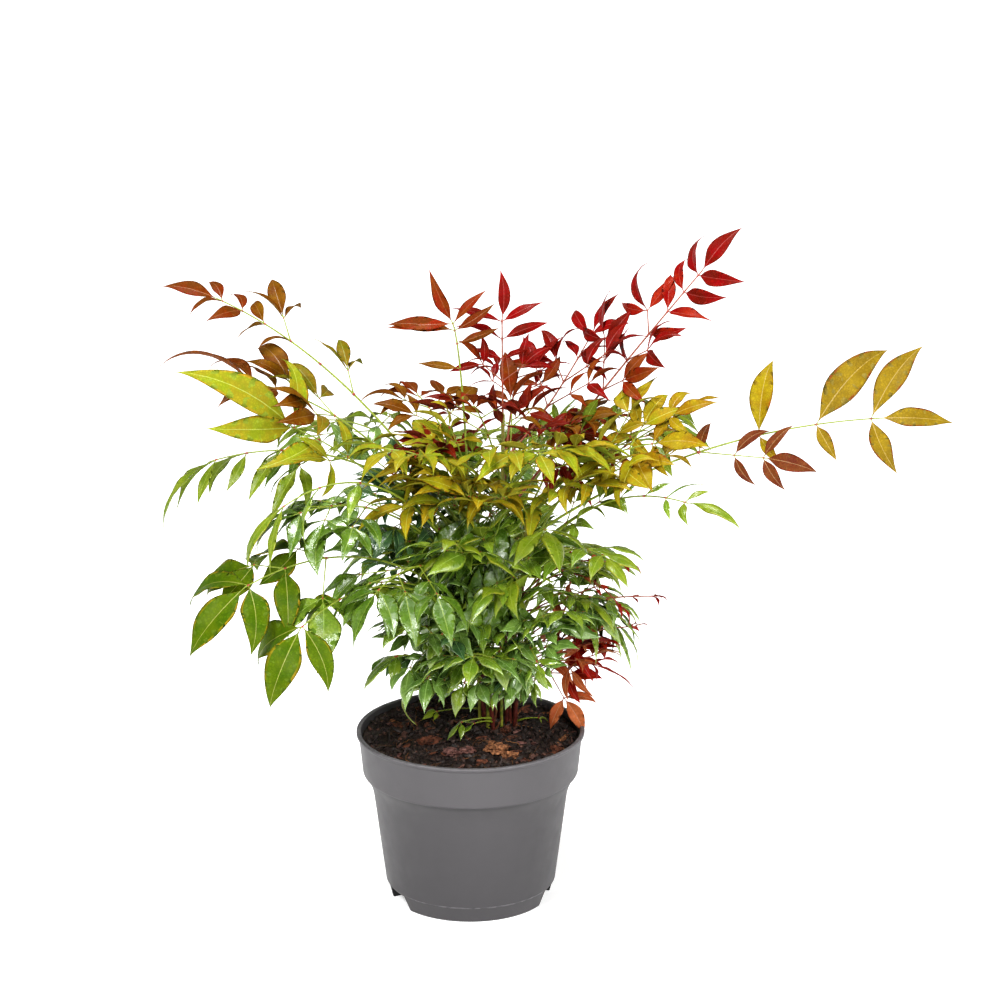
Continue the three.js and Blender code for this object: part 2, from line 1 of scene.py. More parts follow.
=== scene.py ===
"""Heavenly bamboo (Nandina domestica) in a round nursery pot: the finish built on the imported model.

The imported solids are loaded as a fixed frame. Each cane, leafstalk and mass of leaflets is then
replaced by a finer mesh, grown from the same named sizes by the same rule. A compound leaf is
called a frond here, and its side stems are called pinnae. Lengths are millimetres, +Z is up and
the origin is the middle of the pot's underside. A mesh is turned into metres when it is made.
"""
import math
from functools import cache

import bpy
import numpy as np
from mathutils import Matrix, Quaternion, Vector, noise


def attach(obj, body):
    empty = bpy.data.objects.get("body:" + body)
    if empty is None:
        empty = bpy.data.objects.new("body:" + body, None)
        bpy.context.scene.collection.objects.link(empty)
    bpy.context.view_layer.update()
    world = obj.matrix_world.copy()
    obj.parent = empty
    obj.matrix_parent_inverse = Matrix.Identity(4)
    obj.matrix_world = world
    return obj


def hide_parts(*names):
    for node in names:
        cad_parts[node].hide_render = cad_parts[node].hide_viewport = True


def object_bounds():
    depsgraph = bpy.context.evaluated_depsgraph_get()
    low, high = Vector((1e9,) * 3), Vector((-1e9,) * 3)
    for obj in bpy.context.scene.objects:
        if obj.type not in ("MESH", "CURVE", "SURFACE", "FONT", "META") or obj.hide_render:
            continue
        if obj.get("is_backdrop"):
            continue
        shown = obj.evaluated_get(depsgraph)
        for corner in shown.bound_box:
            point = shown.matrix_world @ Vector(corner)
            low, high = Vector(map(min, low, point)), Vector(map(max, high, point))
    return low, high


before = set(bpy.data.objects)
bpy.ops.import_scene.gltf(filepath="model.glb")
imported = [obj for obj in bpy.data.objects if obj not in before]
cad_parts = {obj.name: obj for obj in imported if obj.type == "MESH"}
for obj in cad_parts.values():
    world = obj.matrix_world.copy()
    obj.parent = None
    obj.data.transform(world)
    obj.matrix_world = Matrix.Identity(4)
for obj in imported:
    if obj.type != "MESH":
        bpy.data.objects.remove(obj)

CAD_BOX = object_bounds()
MM = 0.001

bl_info = {
    "name": "Heavenly bamboo in a pot",
    "version": (1, 0, 0),
    "blender": (4, 5, 0),
    "location": "View3D > Sidebar > Bamboo",
    "description": "Grows a potted heavenly bamboo leaflet by leaflet",
    "category": "Add Mesh",
}

# ---------------------------------------------------------------- sizes: pot and compost

POT = {
    "height": 146, "rim_radius": 95, "lip_depth": 3.4, "band_radius": 90, "band_foot": 111,
    "shoulder_radius": 88, "shoulder": 109.2, "body_top_radius": 81.8, "body_top": 97,
    "body_foot_radius": 71.5, "wall": 1.8, "foot_height": 14, "foot_top_radius": 70,
    "foot_radius": 66.5, "foot_thickness": 10, "floor_top": 16, "pad_radius": 22, "pad_floor": 2.4,
}
# gaps between the feet: headings in degrees, and how far from the axis each cut starts and ends
FEET = {
    "gaps": (-153, -16, 95.5), "gap_height": 12.5, "gap_top": 25, "gap_foot": 35,
    "gap_start": 47, "gap_end": 90,
}
DRAIN = {"count": 6, "radius": 4.5, "ring": 48, "sides": 20, "low": 8, "high": 24}
COMPOST = {
    "edge": 138.5, "tilt": 0.04, "rise": 3, "flat_radius": 14, "slope_radius": 66, "x": 22,
    "y": 20,
}
BED = {"radius": POT["band_radius"], "rings": 74, "sides": 230, "hub": 0.012}
# shares of the crumbs and of the small chips that each of their finishes takes
CRUMB_SHARES = (0.6, 0.27, 0.13)
CHIP_SHARES = (0.24, 0.12, 0.06, 0.58)
FIBRE_POINTS = 9
# the largest bark chips: place [x, y], length, width, height, turn in degrees, finish
LARGE_CHIPS = [
    ((-34, -14), 17, 9, 6, 10, 0),
    ((-15, -38), 13, 10, 6, -20, 1),
    ((-2, -36), 14, 10, 6, 25, 1),
    ((22, -34), 19, 15, 9, -25, 2),
    ((33, -47), 13, 9, 7, 15, 2),
    ((-40, 56), 18, 5, 3, -8, 0),
    ((30, 2), 9, 8, 6, 35, 0),
    ((72, -30), 12, 7, 4, -35, 0),
]

# ---------------------------------------------------------------- sizes: canes

FOOT_HEIGHT = 134
CANES = {
    "cane_west_tall": {"foot": (12, 18), "head": (0, 22), "top": 352},
    "cane_west_back": {"foot": (17, 28), "head": (6, 38), "top": 318},
    "cane_west_front": {"foot": (20, 10), "head": (10, 0), "top": 270},
    "cane_east_tall": {"foot": (31, 24), "head": (27, 26), "top": 412},
    "cane_east_front": {"foot": (37, 16), "head": (47, 10), "top": 335},
    "cane_east_back": {"foot": (29, 34), "head": (40, 46), "top": 300},
}
CANE_SUNK = 8
CANE_RING_GAP = 1.5
CANE_SIDES = 14
CANE_RIBS = 7
# shares of a cane's length where its red-brown foot turns brown and its brown turns olive
CANE_CHANGES = (0.28, 0.7)
# old leaf sheaths: height of the first one's mouth over the foot, the usual gaps from mouth to
# mouth at the foot and at a height over it, and how uneven they are
SHEATHS = {"first": 9, "gaps": (10, 22), "over": 200, "uneven": (0.75, 1.25)}
# old leafstalks: how far up they are left as stubs, how many at each sheath, their radii, and how
# far they reach out and rise
STUBS = {"height": 110, "count": 2, "radii": (1.0, 0.7, 0.28), "reach": (2, 6), "rise": (5, 13)}
# thin young canes that stand among the feet of the others, every third ring of each swollen
YOUNG_CANES = {
    "count": 9, "foot": 1.5, "head": 0.8, "spread": 7, "lean": 12, "top": (205, 262), "bow": 2.5,
    "joint": 0.18, "rings": 16, "sides": 9,
}
# a long narrow blade that bends down over the compost
LOOSE_BLADE = (
    (2, 4, 176), (-26, 2, 190), (-48, 0, 184), (-56, 2, 174), (-57, 4, 164), (-52, 6, 153),
    (-45, 8, 145.5),
)

# ---------------------------------------------------------------- sizes: fronds

LEAF_END_SINK = 0.7
INTERNODE = 0.82
LAST_PAIR = 0.97
LONG_REACH = 136
LIGHT_LEAN = 0.5
STALK_OFFSET = 1.5
# leaflets as shares of the usual length: on a pinna at its root, what they gain towards its end,
# the one at its end, and single ones near the frond's tip
PINNA_LEAF, PINNA_LEAF_GAIN, PINNA_END_LEAF, SINGLE_LEAF = 0.72, 0.2, 1.12, 0.95
# how uneven the draws make directions in degrees, and drooping and lengths as shares
PINNA_SPREAD, LEAF_SPREAD = 6, 7
DROOP_SPREAD, LEAF_LENGTH_SPREAD, PINNA_LENGTH_SPREAD = 0.12, 0.13, 0.08

# where each row of random draws starts
FIRST_SEED = 11
SEED_STEP = 7
COMPOST_SEED = 5
YOUNG_CANE_SEED = 90
CANE_SEED = 100
GROUP_SEED = 500
LEAFLET_SEED = 1000
SHOOT_SEED = 2000
SHOOT_SEED_STEP = 50
SPRIG_SEED = 3000

# rise: height of the leafstalk on its cane; heading: degrees from +X towards +Y; reach: level
# distance from cane to frond tip; tip: height of that tip; climb: how steeply the stalk sets
# off; knee: share of the reach where it bends over, with its sway to the left; bare: share of
# the frond that is leafstalk; even: each gap between pairs as a share of the one before; pairs:
# from stalk to tip, the number of leaflet pairs on each pinna of a pair, or (left, right), where
# 0 is one leaflet and -1 none; step: pinna length for each leaflet pair; leaf: leaflet length;
# base_leaf: its share near the stalk; angle and leaf_angle: how far pinnae and leaflets stand
# out; roll: turn of the blade about its axis; hang and lift: how far leaflets droop and pinnae
# rise; twist: unevenness; end: share of leaf of the end leaflet; sizes: for each pair (left,
# right) shares of the usual leaflet length; width: broadness; sky: how far the upper sides turn
# from the blade to the light, which comes from above and outside; turns: for each pair (left,
# right) degrees added to the angle; hues: the blend of colours, named below.
USUAL = {
    "knee": 0.45, "sway": 0, "bare": 0.4, "pairs": (2, 1, 0), "step": 22, "leaf": 38,
    "base_leaf": 0.85, "angle": 58, "leaf_angle": 50, "roll": 0, "hang": 0.4, "lift": -0.1,
    "twist": 18, "even": 0.86, "end": 1.15, "sizes": (), "width": 1, "sky": 0.4, "turns": (),
}
FRONDS = {
    "bronze_west": dict(
        cane="cane_west_tall", rise=300, heading=175, reach=208, tip=504, climb=154, bare=0.34,
        pairs=((-1, 1), (-1, -1), (0, 1), 0, 0, 0), step=26, leaf=42, angle=56, roll=-15, hang=0.1,
        lift=0.05, base_leaf=0.95, end=1.3, width=0.86, twist=45, hues="bronze"),
    "russet_west": dict(
        cane="cane_west_tall", rise=285, heading=187, reach=180, tip=444, climb=136, bare=0.5,
        pairs=(1, (0, 1), 0, 0), step=24, leaf=58, angle=52, roll=-10, hang=0.05, lift=0, twist=35,
        end=1.3, width=0.85, sky=0.15, hues="bronze"),
    "lime_west": dict(
        cane="cane_west_tall", rise=262, heading=195, reach=152, tip=412, climb=108, bare=0.55,
        pairs=((1, 0), (0, -1), 0), step=20, leaf=84, roll=-46, angle=50, hang=-0.1, lift=0.05,
        twist=20, width=0.72, base_leaf=0.5, sizes=((0.8, 0.7), (1, 1), (0.95, 0.85)), end=1.25,
        turns=((0, 0), (0, 0), (-14, 24)), sky=0, hues="lime"),
    "drooping_west": dict(
        cane="cane_west_back", rise=290, heading=191, reach=220, tip=379, climb=120, bare=0.45,
        pairs=(1, 0, 0, 0), step=30, leaf=62, hang=0.9, lift=-0.3, angle=44, width=0.7,
        sizes=((0.8, 0.8), (0.9, 0.6), (0.7, 1.1), (0.8, 1.1)), sky=0, hues="fresh"),
    "fresh_southwest": dict(
        cane="cane_west_front", rise=262, heading=204, reach=160, tip=352, climb=110, bare=0.45,
        step=24, leaf=46, hang=0.5, lift=-0.2, hues="inner"),
    "green_southwest": dict(
        cane="cane_west_front", rise=236, heading=207, reach=212, tip=300, climb=112, bare=0.5,
        pairs=(1, (0, 1), 0), step=34, leaf=68, hang=0.5, lift=-0.35, roll=-25, base_leaf=0.75,
        leaf_angle=66, angle=66, width=1.15, sky=0, hues="glossy"),
    "hanging_southwest": dict(
        cane="cane_west_front", rise=214, heading=220, reach=190, tip=274, climb=118, bare=0.6,
        pairs=((-1, 0), 0), leaf=72, hang=1.15, base_leaf=0.6, angle=82, width=1.05, roll=-30,
        sizes=((1, 0.8), (0.95, 1.15)), turns=((0, 0), (4, 8)), twist=8, sky=0, hues="glossy"),
    "green_front_west": dict(
        cane="cane_west_front", rise=252, heading=232, reach=135, tip=300, climb=80, step=24,
        leaf=46, hang=0.6, lift=-0.25, hues="inner"),
    "scarlet_northeast": dict(
        cane="cane_east_tall", rise=325, heading=13, reach=165, tip=522, climb=95, bare=0.38,
        pairs=((2, 1), (0, 1), (1, 0), 0, 0, 0), leaf=48, angle=54, hang=0.1, lift=0.2, roll=18,
        twist=40, width=0.84, end=1.0, sky=0, hues="scarlet"),
    "gold_east": dict(
        cane="cane_east_front", rise=308, heading=-4, reach=284, tip=416, climb=96, bare=0.34,
        pairs=((0, 2), (0, 0), 0, 0), even=0.93, step=26, leaf=60, angle=60, hang=0.05, lift=0.1,
        roll=55, base_leaf=0.45, end=1, width=0.8, sizes=((0.9, 1.2), (1.8, 0.7), (1.7, 0.8), (1.3, 1)),
        turns=((0, -32), (4, 0), (-14, 15), (-12, 15)), twist=14, sky=0, hues="gold"),
    "amber_east": dict(
        cane="cane_east_front", rise=330, heading=-24, reach=110, tip=402, climb=58, step=20,
        leaf=42, hang=0.1, lift=0.1, roll=35, twist=35, sky=0, hues="amber"),
    "green_east": dict(
        cane="cane_east_front", rise=285, heading=-34, reach=154, tip=364, climb=90, bare=0.45,
        pairs=(0, (0, -1), 0, 0), leaf=42, hang=0.05, roll=25, end=1.5, width=0.66, twist=35, sky=0,
        sizes=((0.8, 0.9), (0.8, 0.8), (0.9, 0.7), (0.6, 0.9)), hues="green"),
    "bronze_top": dict(
        cane="cane_west_tall", rise=345, heading=168, reach=13, tip=487, climb=124, bare=0.3,
        pairs=((0, -1), (-1, 0), 0, 0), leaf=46, hang=0.2, lift=0.1, angle=62, even=0.75,
        width=0.62, roll=-80, sizes=((1, 0.8), (1, 0.9), (1.25, 0.9), (1.2, 1.05)), end=1, twist=25,
        sky=0.35, hues="copper"),
    "crimson_top": dict(
        cane="cane_east_tall", rise=400, heading=95, reach=8, tip=488, climb=40, bare=0.2,
        pairs=(1, 0, 0, 0), step=18, leaf=42, hang=0, lift=0.4, angle=68, width=0.75,
        sizes=((0.8, 0.8), (0.8, 0.8), (1.25, 1), (1.25, 0.95)), sky=0.5, hues="crimson"),
    "crimson_northeast": dict(
        cane="cane_east_tall", rise=372, heading=43, reach=100, tip=462, climb=25, bare=0.3,
        pairs=(2, (1, 2), 0, 0), step=20, leaf=42, hang=0.1, lift=0.3, width=0.8, twist=35, sky=0.5,
        hues="crimson"),
    "green_southeast": dict(
        cane="cane_east_front", rise=255, heading=-58, reach=120, tip=325, climb=75, hang=0.35,
        lift=-0.15, pairs=(1, 0, 0), hues="green"),
    "young_red_east": dict(
        cane="cane_east_tall", rise=236, heading=-6, reach=122, tip=258, climb=20, bare=0.72,
        pairs=(0, 0), leaf=13, hang=0.3, hues="scarlet"),
    "low_green_east": dict(
        cane="cane_east_front", rise=225, heading=-18, reach=75, tip=262, climb=45, bare=0.35,
        pairs=(1, 0, 0), step=18, leaf=32, hang=0.5, lift=-0.3, hues="deep"),
    "low_red_east": dict(
        cane="cane_east_front", rise=182, heading=-22, reach=66, tip=206, climb=32, bare=0.5,
        pairs=((1, 0), 0), step=18, leaf=34, hang=0.05, lift=0, twist=40, width=0.8, sky=0.3,
        hues="brick"),
    "lime_front_west": dict(
        cane="cane_west_tall", rise=318, heading=235, reach=110, tip=405, climb=80, bare=0.35,
        leaf=44, hang=0.35, lift=-0.05, hues="lime"),
    "lime_front_east": dict(
        cane="cane_east_tall", rise=330, heading=285, reach=105, tip=405, climb=75, leaf=44,
        hang=0.35, lift=-0.05, hues="lime"),
    "olive_centre": dict(
        cane="cane_east_tall", rise=345, heading=248, reach=62, tip=432, climb=60, bare=0.3,
        step=18, leaf=34, hang=0.2, lift=0.1, twist=30, hues="wine"),
    "olive_east": dict(
        cane="cane_east_tall", rise=338, heading=-12, reach=75, tip=410, climb=58, bare=0.3,
        step=18, leaf=36, hang=0.2, lift=0.1, twist=30, hues="maroon"),
    "mid_green_west": dict(
        cane="cane_west_front", rise=225, heading=212, reach=100, tip=290, climb=62, bare=0.3,
        pairs=(1, 1, 0), step=20, leaf=36, twist=30, hues="green"),
    "mid_green_front": dict(
        cane="cane_west_front", rise=242, heading=255, reach=85, tip=332, climb=65, bare=0.3,
        step=20, leaf=36, twist=30, hues="green"),
    "mid_green_east": dict(
        cane="cane_east_front", rise=268, heading=282, reach=80, tip=340, climb=60, bare=0.5,
        pairs=(0, 0), leaf=50, hang=0.6, twist=30, hues="green"),
    "glossy_front_west": dict(
        cane="cane_west_front", rise=190, heading=225, reach=90, tip=255, climb=60, bare=0.35,
        step=18, leaf=32, lift=-0.15, hues="deep"),
    "glossy_front": dict(
        cane="cane_west_front", rise=175, heading=262, reach=95, tip=240, climb=60, bare=0.35,
        step=18, leaf=32, lift=-0.15, hues="deep"),
    "glossy_front_east": dict(
        cane="cane_east_front", rise=205, heading=295, reach=85, tip=270, climb=55, bare=0.35,
        step=18, leaf=32, lift=-0.15, hues="deep"),
    "low_west": dict(
        cane="cane_west_front", rise=163, heading=203, reach=85, tip=218, climb=58, bare=0.35,
        step=18, leaf=36, hang=0.8, lift=-0.3, hues="deep"),
    "bronze_north": dict(
        cane="cane_west_tall", rise=335, heading=118, reach=95, tip=405, climb=60, bare=0.35,
        pairs=(1, 1, 0), leaf=40, hang=0.2, lift=0.1, hues="bronze"),
    "crimson_north": dict(
        cane="cane_east_tall", rise=355, heading=82, reach=100, tip=425, climb=66, bare=0.35,
        pairs=(1, 1, 0), leaf=30, hang=0.1, lift=0.1, width=0.8, sky=0.7, hues="crimson"),
    "back_west": dict(
        cane="cane_west_back", rise=300, heading=140, reach=190, tip=368, climb=100, step=24,
        leaf=44, hues="fresh"),
    "back_north": dict(
        cane="cane_east_back", rise=285, heading=92, reach=190, tip=340, climb=95, step=24, leaf=44,
        hues="fresh"),
    "back_east": dict(
        cane="cane_east_back", rise=265, heading=46, reach=180, tip=375, climb=105, step=24,
        leaf=44, hues="fresh"),
    "back_low_west": dict(
        cane="cane_west_back", rise=225, heading=127, reach=140, tip=270, climb=70, bare=0.35,
        leaf=42, hang=0.5, lift=-0.2, hues="green"),
    "back_low_east": dict(
        cane="cane_east_back", rise=205, heading=62, reach=130, tip=260, climb=70, bare=0.35,
        leaf=42, hang=0.5, lift=-0.2, hues="green"),
}

# Finer shoots that fill the clump between the fronds. They are small fronds of the same rule.
# count: shoots shared out over the canes; rise, heading, reach, climb (tip above root), leaf and
# hang: two bounds to draw between; roll: the most either way; pairs: choices to draw from; arch:
# the most that a stalk climbs as it sets off, where that isn't the usual.
USUAL_ARCH = 60
SHOOTS = {
    "low_front": dict(
        canes=("cane_west_front", "cane_east_front"), count=12, rise=(182, 226), heading=(160, 310),
        reach=(30, 70), climb=(15, 55), leaf=(26, 42), width=1.1, hang=(-0.2, 0.5), roll=55,
        twist=50, sky=0.6, hues="deep", pairs=((1, 0), (1, 1, 0), (2, 1, 0))),
    "small_front": dict(
        canes=("cane_west_front", "cane_east_front"), count=16, rise=(170, 228), heading=(185, 305),
        reach=(34, 78), climb=(5, 35), leaf=(17, 29), width=1.15, hang=(-0.2, 0.5), roll=55,
        twist=50, sky=0.6, hues="deep", pairs=((1, 1, 0), (2, 1, 0))),
    "mid_front": dict(
        canes=("cane_west_front", "cane_east_front", "cane_west_tall"), count=8, rise=(214, 272),
        heading=(165, 290), reach=(40, 90), climb=(20, 70), leaf=(26, 46), width=1.05,
        hang=(0, 0.7), roll=50, twist=45, sky=0.65, hues="green",
        pairs=((1, 1, 0), (1, 0, 0), (0, 0))),
    "hanging_front": dict(
        canes=("cane_east_front", "cane_west_front", "cane_west_tall"), count=7, rise=(270, 325),
        heading=(215, 315), reach=(24, 60), climb=(5, 28), leaf=(46, 70), width=0.9,
        hang=(0.9, 1.5), roll=40, twist=30, sky=0.85, hues="inner", pairs=((0,), (-1, 0))),
    "inner_west": dict(
        canes=("cane_west_tall", "cane_west_front", "cane_west_back"), count=6, rise=(225, 300),
        heading=(160, 215), reach=(55, 105), climb=(40, 85), leaf=(34, 54), width=0.9,
        hang=(-0.1, 0.6), roll=45, twist=45, sky=0.55, hues="shade",
        pairs=((1, 1, 0), (1, 0, 0), (0, 0))),
    "crown_front": dict(
        canes=("cane_west_tall", "cane_east_tall", "cane_east_front"), count=12, rise=(290, 335),
        heading=(190, 340), reach=(40, 105), climb=(45, 90), leaf=(34, 58), width=0.78,
        hang=(-0.1, 0.35), roll=25, twist=35, sky=0.55, hues="crown",
        pairs=((1, 1, 0), (1, 0, 0), (0, 0))),
    "crown_top": dict(
        canes=("cane_west_tall", "cane_east_tall"), count=4, rise=(325, 355), heading=(30, 360),
        reach=(20, 60), climb=(30, 65), leaf=(28, 42), width=0.9, hang=(0, 0.4), roll=40,
        twist=45, sky=0.7, hues="wine", pairs=((1, 1, 0), (1, 0, 0))),
    "east": dict(
        canes=("cane_east_front", "cane_east_back", "cane_east_tall"), count=5, rise=(290, 330),
        heading=(-40, 30), reach=(40, 90), climb=(55, 100), leaf=(24, 40), width=0.75,
        hang=(-0.2, 0.4), roll=40, twist=40, sky=0.5, hues="fresh", pairs=((1, 0, 0), (0, 0))),
    "back": dict(
        canes=("cane_west_back", "cane_east_back"), count=18, rise=(180, 300), heading=(66, 165),
        reach=(50, 120), climb=(25, 75), leaf=(34, 50), width=1, hang=(-0.1, 0.6), roll=50,
        twist=50, sky=0.5, hues="green", pairs=((1, 1, 0), (2, 1, 0), (1, 0, 0))),
    "red_east": dict(
        canes=("cane_east_front", "cane_east_back"), count=7, rise=(170, 262), heading=(-40, 15),
        reach=(40, 95), climb=(4, 45), leaf=(12, 22), width=0.9, hang=(0, 0.5), roll=50,
        twist=55, sky=0.3, hues="brick", pairs=((0, 0), (0, 0, 0))),
    "red_low": dict(
        canes=("cane_east_front", "cane_east_back"), count=5, rise=(178, 204), heading=(-14, 24),
        reach=(30, 58), climb=(6, 20), arch=18, leaf=(28, 40), width=0.9, hang=(-0.2, 0.15), roll=70,
        twist=40, sky=0.15, hues="brick", pairs=((0, 0), (1, 0))),
    "mid_east": dict(
        canes=("cane_east_front", "cane_east_back"), count=6, rise=(216, 262), heading=(-55, 20),
        reach=(30, 74), climb=(8, 42), leaf=(24, 42), width=0.95, hang=(0, 0.6), roll=50, twist=45,
        sky=0.6, hues="green", pairs=((1, 1, 0), (1, 0, 0))),
    "crown_dark": dict(
        canes=("cane_east_tall",), count=4, rise=(335, 370), heading=(-35, 70), reach=(35, 80),
        climb=(15, 45), leaf=(34, 50), width=0.85, hang=(-0.1, 0.3), roll=40, twist=45, sky=0.6,
        hues="wine", pairs=((1, 0, 0), (0, 0))),
    "gold_inner": dict(
        canes=("cane_east_front",), count=4, rise=(318, 334), heading=(-22, 6), reach=(85, 160),
        climb=(62, 92), leaf=(28, 42), width=0.85, hang=(-0.1, 0.3), roll=40, twist=45, sky=0.3,
        hues="amber", pairs=((1, 0, 0), (0, 0))),
    "drooping": dict(
        canes=("cane_west_front",), count=1, rise=(254, 258), heading=(200, 206), reach=(174, 180),
        climb=(98, 104), arch=180, leaf=(58, 64), width=0.75, hang=(0.7, 0.8), roll=20, twist=30,
        sky=0.2, hues="green", pairs=((0, 0, 0),)),
    "hanging_east": dict(
        canes=("cane_east_front", "cane_east_back"), count=3, rise=(222, 246), heading=(-30, 12),
        reach=(45, 68), climb=(8, 18), arch=30, leaf=(48, 60), width=0.62, hang=(0.9, 1.3), roll=40,
        twist=30, sky=0.6, hues="deep", pairs=((0,),)),
}

# what every group of shoots draws between the same two bounds
SHOOT_BOUNDS = {
    "arch": (0.5, 1.0), "bare": (0.25, 0.45), "step": (15, 20), "lift": (-0.3, 0.35),
    "sway": (-12, 12), "width": (0.78, 1.2),
}
# share of the bounds from one shoot's heading to the next: the golden ratio parts neighbours
HEADING_STEP = 0.618034

# Sprigs that come up from the compost among the canes. They too are small fronds.
SPRIGS = {
    "sprig_front": dict(
        cane="cane_west_front", rise=149, heading=222, reach=20, tip=152, climb=4, bare=0.75,
        pairs=((-1, 0),), leaf=19, hang=0.2, width=1.15, end=1.0, twist=20, hues="deep"),
    "sprig_low": dict(
        cane="cane_west_front", rise=152, heading=212, reach=30, tip=154, climb=4, bare=0.7,
        pairs=((0, -1),), leaf=17, hang=0.8, width=1.1, end=1.1, twist=20, hues="deep"),
    "sprig_west": dict(
        cane="cane_west_back", rise=152, heading=200, reach=46, tip=156, climb=6, bare=0.6,
        pairs=(0,), leaf=12, hang=0.3, width=1.1, twist=40, hues="green"),
    "sprig_red": dict(
        cane="cane_east_front", rise=214, heading=-12, reach=42, tip=288, climb=2, knee=0.95,
        bare=0.35, pairs=(0, 0, 0, 0, 0, 0), leaf=13, hang=-0.4, angle=22, even=0.95, width=1.1,
        twist=60, sky=0, hues="brick"),
    "sprig_east": dict(
        cane="cane_east_front", rise=147, heading=-20, reach=20, tip=152, climb=5, bare=0.6,
        pairs=(0,), leaf=8, hang=0.2, end=1.0, twist=40, hues="green"),
}

# ---------------------------------------------------------------- colours of the leaflets

# upper side, its second tone in patches, its margin, underside, midrib, and how rough it is
HUES = {
    "rust": ("6a2a05", "5e340a", "74230a", "744018", "7c481c", 0.42),
    "bronze": ("623805", "704c0e", "6e3008", "70501a", "7a5420", 0.42),
    "olive": ("626210", "766016", "7e561a", "707022", "787a24", 0.42),
    "lime": ("7c861c", "8a801e", "987a20", "7e8a2c", "98a03c", 0.38),
    "yellow": ("8c8618", "947c1a", "8c6418", "8c862c", "a6a444", 0.4),
    "fresh": ("64791a", "74821e", "8c8e2a", "6a7a28", "88983c", 0.3),
    "leaf": ("627e24", "7c902c", "84982e", "5c7826", "8aa44c", 0.2),
    "moss": ("425a0a", "52640c", "84701a", "566a1c", "808436", 0.34),
    "deep": ("5a7836", "728e42", "728c3e", "587432", "88a458", 0.19),
    "dark": ("345434", "4c6c3e", "507040", "50703c", "70905a", 0.18),
    "maroon": ("78240a", "74380e", "661a0a", "783818", "82401c", 0.42),
    "wine": ("5e140c", "6c200c", "7a2412", "6a2a1c", "76321e", 0.4),
    "crimson": ("7c0a0a", "661608", "8a2216", "80241c", "8c2e26", 0.38),
    "scarlet": ("7c0a0a", "8a240e", "922616", "842820", "903428", 0.38),
    "gold": ("7a6418", "86701c", "7a461e", "7e6e30", "9c8440", 0.42),
    "amber": ("86660e", "8e7c14", "824e16", "86701e", "9a8434", 0.42),
    "blush": ("683a1c", "5c2a18", "783622", "704828", "846038", 0.42),
    "brick": ("b0663e", "9c4c2a", "b46a42", "a06444", "b07a58", 0.36),
    "ivy": ("466418", "567220", "5c7224", "587026", "80943e", 0.24),
}
# each frond's hues from its stalk to its tip; a spray takes the one for its place or a neighbour
BLENDS = {
    "bronze": ("olive", "bronze", "rust"),
    "lime": ("fresh", "lime", "lime"),
    "crown": ("fresh", "lime", "yellow", "yellow"),
    "fresh": ("leaf", "fresh", "fresh"),
    "green": ("deep", "leaf", "fresh"),
    "glossy": ("leaf", "moss", "moss"),
    "inner": ("leaf", "ivy", "ivy"),
    "deep": ("dark", "deep", "leaf"),
    "shade": ("dark", "dark", "deep"),
    "maroon": ("olive", "bronze", "maroon"),
    "copper": ("bronze", "rust", "maroon"),
    "wine": ("bronze", "wine", "maroon"),
    "crimson": ("maroon", "crimson", "crimson"),
    "scarlet": ("maroon", "crimson", "scarlet", "crimson"),
    "gold": ("blush", "blush", "amber", "gold", "gold"),
    "amber": ("olive", "yellow", "amber"),
    "brick": ("brick", "brick", "brick", "scarlet"),
}
# joined pieces of leaflets, each with the record's slot and the blends of its fronds
LEAF_PIECES = {
    "leaves_bronze": ("bronze", ("bronze", "copper", "maroon", "wine")),
    "leaves_red": ("crimson", ("crimson", "scarlet", "brick")),
    "leaves_gold": ("gold", ("gold", "amber")),
    "leaves_lime": ("lime", ("lime", "fresh", "crown")),
    "leaves_green": ("green", ("green", "glossy", "inner")),
    "leaves_deep": ("deep", ("deep", "shade")),
}

# ---------------------------------------------------------------- materials

FINE_GRAIN = 0.6


def linear(text):
    """A linear colour from a hex text of a screen colour."""
    parts = [int(text[i:i + 2], 16) / 255 for i in (0, 2, 4)]
    return tuple(c / 12.92 if c <= 0.04045 else ((c + 0.055) / 1.055) ** 2.4 for c in parts)


def scaled(colour, share):
    """A colour made darker or lighter by a share."""
    return tuple(min(c * share, 1.0) for c in colour[:3])


